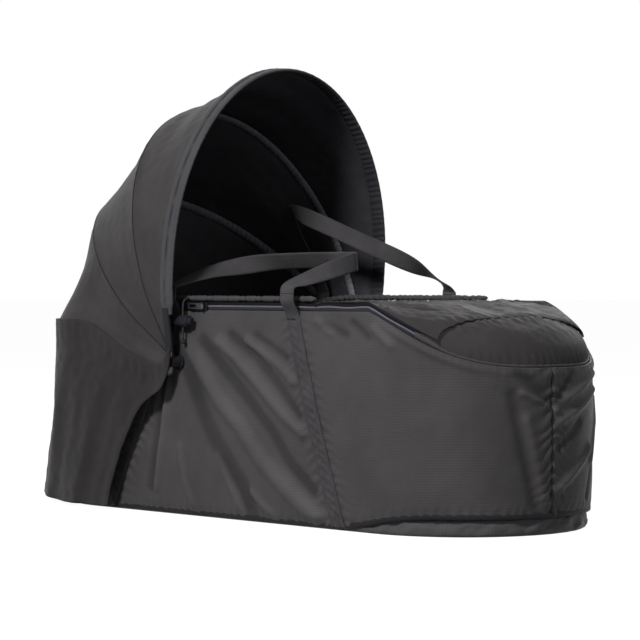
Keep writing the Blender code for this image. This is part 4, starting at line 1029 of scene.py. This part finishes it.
flap_fold_x, fold_axis_z = 0.3343, 0.2500
fold_gap = 0.0004
crest_z, crest_foot_z = 0.2614, 0.2380
cover_thickness = 0.0022
flap_rise = zip_rise + piece_gap
cover_rise = 0.0008
flap_hem = 0.0072
apron_nylon = cloth_finish("apron_nylon", screen(72, 70, 71), 0.0030, 0.30, gloss=0.01)
# height and half width of each tuck, then its line over the apron
tucks = (
    (0.0030, 0.0070, [(0.178, -0.128), (0.196, -0.118), (0.214, -0.124)]),
    (-0.0030, 0.0050, [(0.180, -0.119), (0.200, -0.107)]),
    (0.0026, 0.0050, [(0.205, -0.133), (0.199, -0.112), (0.206, -0.095)]),
    (-0.0026, 0.0060, [(0.214, -0.136), (0.218, -0.110)]),
    (0.0024, 0.0070, [(0.232, -0.138), (0.246, -0.105), (0.268, -0.080)]),
    (-0.0020, 0.0060, [(0.250, -0.140), (0.262, -0.112), (0.290, -0.085)]),
    (0.0018, 0.0100, [(0.190, -0.060), (0.250, -0.030), (0.310, -0.040)]),
    (-0.0018, 0.0110, [(0.185, 0.000), (0.250, 0.015), (0.320, 0.000)]),
    (0.0018, 0.0100, [(0.190, 0.060), (0.250, 0.050), (0.310, 0.070)]),
    (0.0024, 0.0060, [(0.200, 0.128), (0.214, 0.105)]),
    (-0.0022, 0.0060, [(0.214, 0.130), (0.232, 0.105)]),
)


def cover_height(x, y, rise):
    """Height of the smooth cover's outer face."""
    beyond = np.maximum(x - foot_centre, 0.0)
    spread = np.minimum(np.hypot(beyond, y) / half_width, 1.0)
    edge = wall_top(x) + rise
    crest = between(crest_z, crest_foot_z, beyond / half_width)
    return edge + (crest - edge) * np.sqrt(np.maximum(1 - spread ** 4, 0.0))


def cover_tucks(x, y):
    """Tucks and puckers of the apron, upwards, fading out at the sewn edge."""
    beyond = np.maximum(x - foot_centre, 0.0)
    inside = np.clip((1 - np.hypot(beyond, y) / half_width) / 0.12, 0.0, 1.0)
    total = 0.0012 * ripple(x, y, 0.060, 51) + 0.0004 * ripple(x, y, 0.020, 52)
    for height, wide, line in tucks:
        total += height * bell(off_line(x, y, line), wide)
    # drawn together along the fold, the zip and the flap's front edge
    apart = np.abs(x - flap_fold_x)
    gather = pleats(y, 0.0135, 1.6 * ripple(y, x * 0.3, 0.05, 53))
    total += 0.0008 * gather * bell(apart, 0.017) - 0.0014 * bell(apart, 0.0050)
    brink = half_width - np.abs(y)
    gather = (0.5 + 0.5 * pleats(x + 0.6 * brink, 0.0105, 1.8 * ripple(x, y * 0.3, 0.05, 55))) ** 2
    total += 0.0028 * gather * bell(brink - 0.010, 0.007) * (x < foot_centre + 0.02)
    gather = pleats(y, 0.0100, 1.6 * ripple(y, x * 0.3, 0.05, 54))
    total += 0.0010 * gather * bell(x - flap_front, 0.013)
    return (total - 0.0010) * ease(inside) * 0.9


def out_of(grid):
    """Directions square to a grid of points."""
    return unit(np.cross(np.gradient(grid, axis=0), np.gradient(grid, axis=1)))


def way_over(grid, axis):
    """How far over a grid of points each lies from its first row or column."""
    return np.cumsum(np.insert(np.linalg.norm(np.diff(grid, axis=axis), axis=2), 0, 0.0, axis=axis), axis=axis)


def apron_sheet(x, y, rise, foot):
    """Outer and inner grid of the apron over places in plan, and its uv."""
    outer = np.stack([x, y, np.maximum(cover_height(x, y, rise) + cover_tucks(x, y), foot)], axis=-1)
    out = out_of(outer)
    out *= np.sign(out[..., 2:3] + 1e-9)
    return outer, outer - out * cover_thickness, np.stack([way_over(outer, 1), way_over(outer, 0)], axis=-1)


x_rows = np.linspace(flap_front, flap_fold_x - fold_gap, 100)[:, None]
half = np.sqrt(half_width ** 2 - np.maximum(x_rows - foot_centre, 0.0) ** 2)
y = half * np.sin(math.pi / 2 * np.linspace(-1, 1, 111))
x = np.broadcast_to(x_rows, y.shape)
edge = wall_top(x) + flap_rise - 0.0024 * ease((half - np.abs(y)) / 0.014)
outer, inner, uvs = apron_sheet(x, y, flap_rise, edge + 0.0014)
inner[..., 2] = np.maximum(inner[..., 2], edge)
inner[:, 0] = outer[:, 0] + (0.0, cover_thickness, 0.0)
inner[:, -1] = outer[:, -1] - (0.0, cover_thickness, 0.0)
inner[..., 0] = np.clip(inner[..., 0], flap_front, flap_fold_x - fold_gap)
flap = shell("foot_flap_cloth", outer, inner, [apron_nylon], uvs)
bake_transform(flap)
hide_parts("foot_flap")

hem_y = np.linspace(-1.0, 1.0, 260) * (half_width - flap_hem / 2)
hem_z = cover_height(np.full(260, flap_front), hem_y, flap_rise) - 0.0018
middle = np.stack([np.full(260, flap_front - 0.0022), hem_y, hem_z], axis=-1)
outs = np.tile((1.0, 0.0, 0.0), (260, 1))
ups = unit(np.cross(np.gradient(middle, axis=0), outs))
ups *= np.sign(ups[:, 2:3] + 1e-9)
gathered_tube("flap_hem_gathers", middle, outs, ups, flap_hem, flap_hem, "flap", "flap_hem", 61, 14)

start_x = flap_fold_x + fold_gap
half_angle = math.acos((start_x - foot_centre) / half_width)
along = np.sin(math.pi / 2 * np.linspace(0.0, 1.0, 46))[:, None]
spread = np.linspace(-0.985, 0.985, 131)[None, :]
angles = half_angle * spread
x = between(start_x, foot_centre + half_width * np.cos(angles), along)
y = between(half_width * math.sin(half_angle) * spread, half_width * np.sin(angles), along)
outer, inner, uvs = apron_sheet(x, y, cover_rise, wall_top(x) + cover_rise)
gather = pleats(angles * half_width, 0.0115, 1.5 * ripple(angles, angles * 0, 0.4, 63))
push = 0.0003 * gather * bell(1 - along, 0.10) - 0.0002
outer = outer + unit(np.stack([x - foot_centre + 1e-9, y, np.zeros_like(x)], axis=-1)) * push[..., None]
inner[..., 0] = np.maximum(inner[..., 0], start_x)
inner[..., 2] = np.maximum(inner[..., 2], wall_top(inner[..., 0]) + cover_rise)
cover = shell("foot_cover_cloth", outer, inner, [apron_nylon], uvs)
dress(cover, "cot", "ripstop", "foot_cover")


# Rolled edge: the top of the foot panel is turned over a soft cord between the zip's end and the cover.
# It is as tall as the zip where it starts and shrinks to a thin roll beside the cover.

roll_start = zip_foot_way - 0.006
way = np.linspace(roll_start, side_way("far", roll_start), 340)[:, None]
along = np.minimum(way, side_way("far", way))
fold_way = side_length + half_width * math.asin((flap_fold_x - foot_centre) / half_width)
tall = between(zip_rise - 0.0002, 0.0040, ease((along - fold_way + 0.016) / 0.030)) / 2
thick = between(0.0062, 0.0036, ease((along - fold_way + 0.010) / 0.040))
angle = round_steps(12)[None, :]
pleat = 1 + 0.07 * pleats(way, 0.010, 1.3 * np.sin(angle) + ripple(way, way * 0, 0.05, 66))
off = thick * (np.cos(angle) * pleat / 2 - 0.32)
z = wall_top(plan(way)[0]) - 0.0006 + tall + tall * np.sin(angle) * np.minimum(pleat, 1.0)
roll = loft("foot_edge_roll", off_wall(np.broadcast_to(way, z.shape), off, z), [ripstop])
dress(roll, "cot", "ripstop")


# Lining: black padded cotton round the inside of the walls, quilted in upright channels.
# It is sewn to the body under the zip and ends above the mattress's foot.

lining_thickness = 0.005
channels = 30
lining_foot_z, lining_drop = 0.024, 0.006
lining_cloth = cloth_finish("black_lining", screen(60, 60, 64), 0.0011, 0.2, gloss=0.18, crinkle=0.8)
way = np.linspace(0.0, body_round, 560, endpoint=False)[:, None]
share = np.linspace(0.0, 1.0, 34)
z = between(lining_foot_z, wall_top(plan(way)[0]) - lining_drop, share)
ways = np.broadcast_to(way, z.shape)
puffed = np.abs(np.sin(math.pi * channels * ways / body_round)) ** 0.55 * np.sin(math.pi * share) ** 0.4
back = belly(z) - panel_thickness - 0.0004
face = back - lining_thickness * (0.50 + 0.46 * puffed) + 0.0004 * ripple(ways, z, 0.03, 71)
grids = [off_wall(ways, off, z) for off in (back, face)]
wall_pad = shell("quilted_wall_lining", *grids, [lining_cloth], np.stack([ways, z], axis=-1), closed=True)
dress(wall_pad, "cot", "lining", "wall_lining")


# Mattress: foam in a pale woven ticking, loose in the cot, with a piped edge all round the top.
# The cover is blown up a little by a cloth simulation, so that it bulges between its seams.

voxel_size = 0.006
swell_frames = 20
most_swell = 0.006
mattress_foot_z, mattress_top_z = 0.0101, 0.0440
ticking = cloth_finish("woven_ticking", screen(150, 148, 144), 0.0024, 0.18, roughness=0.8, crinkle=0.6)


def cushion_loop(inset, z, count=150):
    return off_wall(np.linspace(0.0, body_round, count, endpoint=False), -inset, z)


def corner_points(mesh):
    return np.array([corner.co for corner in mesh.vertices])


profile = ((0.034, 0.0105), (0.026, 0.0112), (0.0235, 0.0150), (0.0235, 0.0330), (0.026, 0.0372), (0.034, 0.0385))
mattress = loft("mattress_cushion", [cushion_loop(*entry) for entry in profile], [ticking])
remesh = mattress.modifiers.new("even mesh", "REMESH")
remesh.mode = "VOXEL"
remesh.voxel_size = voxel_size
bpy.context.view_layer.objects.active = mattress
mattress.select_set(True)
bpy.ops.object.modifier_apply(modifier="even mesh")
rest = corner_points(mattress.data)
puff = mattress.modifiers.new("puff", "CLOTH")
puff.settings.use_pressure = True
puff.settings.uniform_pressure_force = 4.0
puff.settings.effector_weights.gravity = 0.0
puff.settings.quality = 5
puff.point_cache.frame_start = 1
puff.point_cache.frame_end = swell_frames
for number in range(1, swell_frames + 1):
    scene.frame_set(number)
swollen = mattress.evaluated_get(bpy.context.evaluated_depsgraph_get())
move = corner_points(swollen.data) - rest
mattress.modifiers.remove(puff)
scene.frame_set(1)
move *= np.minimum(1.0, most_swell / np.maximum(np.linalg.norm(move, axis=1, keepdims=True), 1e-9))
mattress.data.vertices.foreach_set("co", (rest + move).ravel())
mattress.data.polygons.foreach_set("use_smooth", np.ones(len(mattress.data.polygons), dtype=bool))
finer = mattress.modifiers.new("finer", "SUBSURF")
finer.levels = 1
bpy.ops.object.modifier_apply(modifier="finer")
mattress.select_set(False)
points = corner_points(mattress.data)
points[:, 2] = np.clip(points[:, 2], mattress_foot_z, mattress_top_z)
mattress.data.vertices.foreach_set("co", points.ravel())
mattress.data.update()
dress(mattress, "cot", "ticking", "mattress")
piped = cushion_loop(0.0222, 0.0352, 400)
rings = tube_rings(np.concatenate([piped, piped[:1]]), 0.0013, 8)[:-1]
piping = loft("mattress_piping", rings, [ticking], closed=True)
dress(piping, "cot", "ticking")


# Hood: three hoops on one pair of pivots, with grey nylon outside and black lining inside.
# The front hoop runs in a wide bound rim, the other two in gathered tunnels of the lining.

pivot = np.array((-0.075, 0.0, 0.188))
stack_start = half_width + belly_depth - panel_thickness / 6 + 0.0015 + piece_gap
first_eye, eye_pitch, hoop_spread = 0.0021, 0.0045, 0.0143
rear_lean, middle_lean, front_lean = -50.0, -21.8, 4.0
# each hoop's place in the stack of eyes, its height and straight leg above the pivot, and its lean in degrees
hoop_rows = {
    "rear": (0, 0.328, 0.100, rear_lean),
    "middle": (1, 0.340, 0.110, middle_lean),
    "front": (2, 0.363, 0.120, front_lean),
}
gore_columns = 181
gore_start = 0.014
gore_droop, gore_thickness = 0.004, 0.0016
cloth_proud = 0.0031
seam_off = 0.0004


def hoop_run(hoop, start, count):
    """Places along a hoop at even steps from its near leg over the top, with outward and forward directions."""
    order, height, leg, lean = hoop_rows[hoop]
    eye = stack_start + first_eye + order * eye_pitch
    up = np.linspace(start, leg, 60)
    angle = np.linspace(0, math.pi / 2, 160)[1:]
    wide = np.concatenate([eye + hoop_spread * ease(up / 0.100), (eye + hoop_spread) * np.cos(angle)])
    half = np.stack([wide, np.concatenate([up, leg + (height - leg) * np.sin(angle)])], axis=-1)
    whole = np.concatenate([half * (-1, 1), half[::-1][1:]])
    way = way_along(whole)
    even = np.linspace(0.0, way[-1], count)
    wide, high = interp_rows(even, way, whole).T
    along = unit(np.stack([np.gradient(wide), np.gradient(high)], axis=-1))
    tilt = math.radians(lean)
    place = np.stack([pivot[0] + high * math.sin(tilt), wide, pivot[2] + high * math.cos(tilt)], axis=-1)
    out = np.stack([along[:, 0] * math.sin(tilt), -along[:, 1], along[:, 0] * math.cos(tilt)], axis=-1)
    forward = np.tile((math.cos(tilt), 0.0, -math.sin(tilt)), (count, 1))
    return place, out, forward, even


hood_cloth = cloth_finish("hood_nylon", screen(67, 65, 66), 0.0040, 0.16, roughness=0.45, crinkle=0.8)
hood_lining = cloth_finish("hood_lining", screen(58, 58, 62), 0.0011, 0.2, gloss=0.16, crinkle=0.8)
rim_cloth = cloth_finish("rim_nylon", screen(80, 79, 82), 0.0040, 0.12, crinkle=0.5)
# painted light: the tunnels are lining, coloured much paler than it to stand for light inside the hood
tunnel_cloth = cloth_finish("tunnel_lining", screen(112, 111, 118), 0.0011, 0.2, gloss=0.2, crinkle=0.6)
groove_cloth = cloth_finish("groove_tape", screen(30, 30, 42), 0.0012, 0.3, crinkle=0.3)


def gore_cloth(name, back_edge, front_edge, span_rows, seed):
    """Cloth between two hoops: nylon outside, lining inside, pinched where it is sewn."""
    ends = np.array([0.0, 0.006, 0.014, 0.024, 0.040])
    t = np.concatenate([ends, np.linspace(0.06, 0.94, span_rows), 1 - ends[::-1]])[None, :]
    grid = between(back_edge[:, None], front_edge[:, None], t[..., None])
    span = np.linalg.norm(front_edge - back_edge, axis=1)[:, None]
    way = way_along((back_edge + front_edge) / 2)[:, None]
    level = t * span
    ways = np.broadcast_to(way, level.shape)
    sag = np.minimum(gore_droop, span * 0.05) * 4 * t * (1 - t)
    wrinkle = 0.0010 * ripple(ways, level, 0.075, seed) + 0.0003 * ripple(ways, level, 0.022, seed + 1)
    low = bell(np.minimum(way, way[-1] - way), 0.10)
    wrinkle += low * 0.0012 * ripple(ways * 0.35, level, 0.022, seed + 2)
    off_seam = np.minimum(t, 1 - t) * span
    wrinkle *= ease(off_seam / 0.010) * ease(span / 0.05)
    gather = pleats(ways, 0.012, 1.5 * ripple(ways, level * 0.2, 0.05, seed + 3))
    wrinkle += 0.00035 * gather * bell(off_seam, 0.008) * ease(off_seam / 0.001)
    welt = 0.0005 * bell(off_seam - 0.0018, 0.0012) - 0.0007 * bell(off_seam, 0.0007)
    inward = unit(pivot - grid)
    outer = grid + inward * (sag - wrinkle - welt)[..., None]
    out = out_of(outer)
    out *= np.sign((out * -inward).sum(axis=-1, keepdims=True) + 1e-9)
    uvs = np.stack([ways, level], axis=-1)
    return shell(name, outer, outer - out * gore_thickness, [hood_cloth, hood_lining], uvs, inner_kind=1)


def hoop_edge(hoop, ahead, proud=cloth_proud):
    """The line along a hoop that a gore is sewn to."""
    place, out, forward, _ = hoop_run(hoop, gore_start, gore_columns)
    return place + forward * ahead + out * proud


front_edge = hoop_edge("front", -0.0052, 0.0008)
front_gore = gore_cloth("hood_front_gore", hoop_edge("middle", seam_off), front_edge, 30, 81)
middle_gore = gore_cloth("hood_middle_gore", hoop_edge("rear", seam_off), hoop_edge("middle", -seam_off), 30, 85)
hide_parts("canopy_front")
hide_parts("canopy_middle")
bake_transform(front_gore)
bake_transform(middle_gore)

# where the skirt's top seam lies, which is also the foot of the rear gore
skirt_stand_off, skirt_head_stand_off, skirt_flare = 0.0265, 0.0080, 0.034
skirt_foot_z, skirt_head_foot_z = 0.005, 0.012


def skirt_wall(front_x, top_share, count):
    """A level line of the skirt, from its near front edge round the head to the far one."""
    first = front_x - corner_x
    way = np.linspace(first, side_way("far", first) - body_round, count)
    x, _, out_x, _ = plan(way)
    at_head = ease(np.minimum(1.6 * out_x * out_x, 1.0))
    stand_off = between(skirt_stand_off, skirt_head_stand_off, at_head) + skirt_flare * (1 - top_share) * at_head
    top = between(0.186, 0.238, ease((-0.090 - x) / (-0.090 - corner_x))) + 0.020 * bell(x + 0.064, 0.012)
    return way, stand_off, between(between(skirt_foot_z, skirt_head_foot_z, at_head), top, top_share)


way, stand_off, z = skirt_wall(-0.092, 1.0, gore_columns)
seam = off_wall(way, stand_off - 0.0030, z - 0.006)
rear_gore = gore_cloth("hood_rear_gore", seam, hoop_edge("rear", -seam_off), 34, 89)
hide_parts("canopy_rear")
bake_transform(rear_gore)

for hoop in ("rear", "middle"):
    # a thin folded welt standing along the seam
    place, out, forward, even = hoop_run(hoop, 0.020, 300)
    angle = round_steps(8)[None, :]
    bulge = 1.0 + 0.12 * pleats(even[:, None], 0.011, 0.0)
    high = np.broadcast_to(0.0008 * np.sin(angle), (300, 8))
    rings = rings_along(place + out * (cloth_proud - 0.0002), forward, out, 0.00085 * np.cos(angle) * bulge, high)
    dress(loft("hood_seam_" + hoop, rings, [binding]), hoop + "_hoop", "ripstop")

for hoop in ("rear", "middle"):
    # a gathered tunnel of lining round the hoop, deep on its inner side, coloured paler than the lining as painted
    # light
    place, out, forward, even = hoop_run(hoop, 0.036, 520)
    angle = round_steps(16)[None, :]
    wander = 1.2 * ripple(even, even * 0, 0.05, 95)[:, None]
    pleat = pleats(even[:, None], 0.0072, 1.2 * np.cos(angle) + wander)
    grow = 1.0 + 0.16 * pleat * (0.5 - 0.5 * np.sin(angle))
    thick = np.sin(angle) * np.where(np.sin(angle) > 0, 0.0012, 0.0030 * grow) - 0.0012
    rings = rings_along(place, forward, out, 0.0056 * np.cos(angle) * grow, thick)
    dress(loft("hood_tunnel_" + hoop, rings, [tunnel_cloth]), hoop + "_hoop", "lining", hoop + "_hoop_sleeve")

# rim of the hood: two padded strips with a stitched groove between them, ruched binding inside.
# Each point of its section lies so far ahead and proud, on a strip (0), in the groove (1) or inside (2).
place, out, forward, even = hoop_run("front", 0.058, 620)
rim_section = (
    (-0.0090, -0.0004, 0), (-0.0088, 0.0010, 0), (-0.0072, 0.0019, 0), (-0.0050, 0.0021, 0), (-0.0028, 0.0018, 0),
    (-0.0020, 0.0010, 1), (-0.0012, 0.0002, 1), (0.0012, 0.0002, 1), (0.0020, 0.0010, 1),
    (0.0030, 0.0017, 0), (0.0064, 0.0021, 0), (0.0100, 0.0020, 0), (0.0126, 0.0012, 0), (0.0132, -0.0004, 0),
    (0.0118, -0.0017, 2), (0.0064, -0.0026, 2), (0.0015, -0.0030, 2), (-0.0030, -0.0028, 2), (-0.0070, -0.0020, 2),
)
ahead, proud, kind = np.transpose(rim_section)
ends = np.minimum(even, even[-1] - even)[:, None]
wander = 1.3 * ripple(even, even * 0, 0.045, 97)[:, None]
pleat = pleats(even[:, None], np.where(kind == 2, 0.0075, 0.012), wander + ahead * 150)
padded = (0.00010 + 0.0002 * bell(ends, 0.022)) * pleat - 0.0001
proud = proud - (kind == 2) * 0.0005 * pleat + (kind == 0) * padded
rings = rings_along(place, forward, out, ahead * (1.0 - 0.35 * bell(ends, 0.010)), proud)
sides = []
for a, b in zip(kind, np.roll(kind, -1)):
    sides.append(2 if 2 in (a, b) else (1 if a == b == 1 else 0))
rim = loft("hood_rim_binding", rings, [rim_cloth, groove_cloth, hood_lining], kinds=sides)
dress(rim, "front_hoop", "ripstop", "hood_rim")
at = np.linspace(0.004, even[-1] - 0.004, int(even[-1] / 0.0019))
zig = np.where(np.arange(len(at)) % 2, 0.0016, -0.0016)[:, None]
sideways = interp_rows(at, even, forward) * zig
zig_path = interp_rows(at, even, place) + sideways + interp_rows(at, even, out) * 0.0009
dress(loft("rim_zigzag_stitching", tube_rings(zig_path, 0.00028, 5), [thread]), "front_hoop", "webbing")

# cloth edge that covers the front hoop's leg below the rim
place, out, forward, even = hoop_run("front", 0.012, 900)
rows = np.linspace(-0.0060, 0.0046, 9)
turned = np.where(np.arange(9) == 8, -0.0008, 0.0)[None, :]
for sign, word in ((-1.0, "near"), (1.0, "far")):
    leg = (place[:, 2] < pivot[2] + 0.066) & (place[:, 1] * sign > 0)
    across = np.broadcast_to(rows, (leg.sum(), 9))
    grids = [rings_along(place[leg], forward[leg], out[leg], across, proud + turned + 0 * across)
             for proud in (0.0030, 0.0016)]
    if sign > 0:
        grids = [grid[::-1] for grid in grids]
    facing = shell("hood_front_hem_" + word, *grids, [binding], grid_uvs(np.arange(leg.sum()) * 0.001, rows))
    dress(facing, "front_hoop", "ripstop")


# Skirt: a loose curtain of nylon round the head end, sewn to the hood's foot and hemmed all round.
# Its front edges are folded over and stitched twice.

columns, rows = 330, 64
skirt_height = 0.207
hem_turn, hem_step = 0.010, 0.0005
# height above the floor and place of the front edge, from its foot to its top
skirt_front_line = (
    (0.005, -0.188), (0.026, -0.183), (0.050, -0.174), (0.077, -0.162), (0.127, -0.136), (0.150, -0.120),
    (0.166, -0.101), (0.176, -0.082), (0.186, -0.0695), (0.200, -0.0665), (0.212, -0.0665),
)
skirt_cloth = cloth_finish("skirt_nylon", screen(57, 55, 56), 0.0040, 0.16)
grid = np.zeros((columns, rows, 3))
ways = np.zeros((columns, rows))
along = np.linspace(0.0, 1.0, columns)
wave = np.sin(2 * math.pi * 9 * along + 0.6) + 0.5 * np.sin(2 * math.pi * 17 * along + 1.9)
for j, share in enumerate(np.linspace(0.0, 1.0, rows)):
    front_x = float(np.interp(skirt_foot_z + share * skirt_height, *zip(*skirt_front_line)))
    way, stand_off, z = skirt_wall(front_x, share, columns)
    folds = 0.00225 * (wave - 1.5) * float(ease((1 - share) * 1.4))
    fine = 0.0009 * ripple(way, z * 0.25, 0.035, 101) + 0.0003 * ripple(way, z, 0.015, 102)
    fine += 0.0006 * pleats(way, 0.016, ripple(way, z * 0, 0.06, 103)) * bell(1 - share, 0.10)
    out = stand_off + folds + (fine - 0.0006) * min(1.0, (1 - share) * 8 + 0.15)
    grid[:, j] = off_wall(way, np.minimum(out, stand_off + 0.0004), z)
    ways[:, j] = way
out = out_of(grid)
out *= np.sign((out * (grid - (corner_x, 0.0, 0.15))).sum(axis=-1, keepdims=True))
edge_way = np.minimum(np.arange(columns), np.arange(columns)[::-1])[:, None] * (body_round * 0.4 / columns)
edge_up = np.linspace(0.0, 1.0, rows)[None, :] * 0.20
step = hem_step * (1 - ease((np.minimum(edge_way, edge_up) - hem_turn) / 0.0025))
outer = grid + out * (step - 0.0004)[..., None]
inner = outer - out * (0.0016 + step)[..., None]
uvs = np.stack([ways, grid[..., 2]], axis=-1)
skirt = shell("hood_skirt_cloth", outer, inner, [skirt_cloth, hood_lining], uvs, inner_kind=1)
dress(skirt, "cot", "skirt_cloth", "hood_skirt")
hem_rows = [(outer[off, 2:-2], out[off, 2:-2]) for off in (3, -4, 7, -8)]
hem_rows += [(outer[4:-4, off], out[4:-4, off]) for off in (3, -3)]
stitches("skirt_hem_stitching", hem_rows, 0.0038, 0.0028, 0.00030, dark_thread, "cot")


# Pivots and cord lock: the hoops and plates are moulded in dark plastic and turn on a dark steel rivet.
# The cord lock is a moulded barrel and button with a coil spring of bright steel between them.

moulded = grain_finish("moulded_plastic", screen(40, 40, 46), 0.55, 180.0, 0.0002, gloss=0.12)
hoop_plastic = grain_finish("hoop_plastic", screen(38, 38, 40), 0.45, 90.0, 0.0002)
rivet = grain_finish("dark_rivet", screen(34, 34, 38), 0.45, 240.0, 0.0001, gloss=0.15)
spring_steel = grain_finish("spring_steel", screen(170, 170, 172), 0.3, 240.0, 0.0001, metallic=1.0)
for hoop in hoop_rows:
    refinish(hoop + "_hoop", hoop_plastic)
for side in ("near", "far"):
    refinish("pivot_plate_" + side, moulded)
    refinish("pivot_cap_" + side, rivet)
refinish("cord_lock_barrel", moulded)
refinish("cord_lock_button", moulded)
refinish("cord_lock_spring", spring_steel)
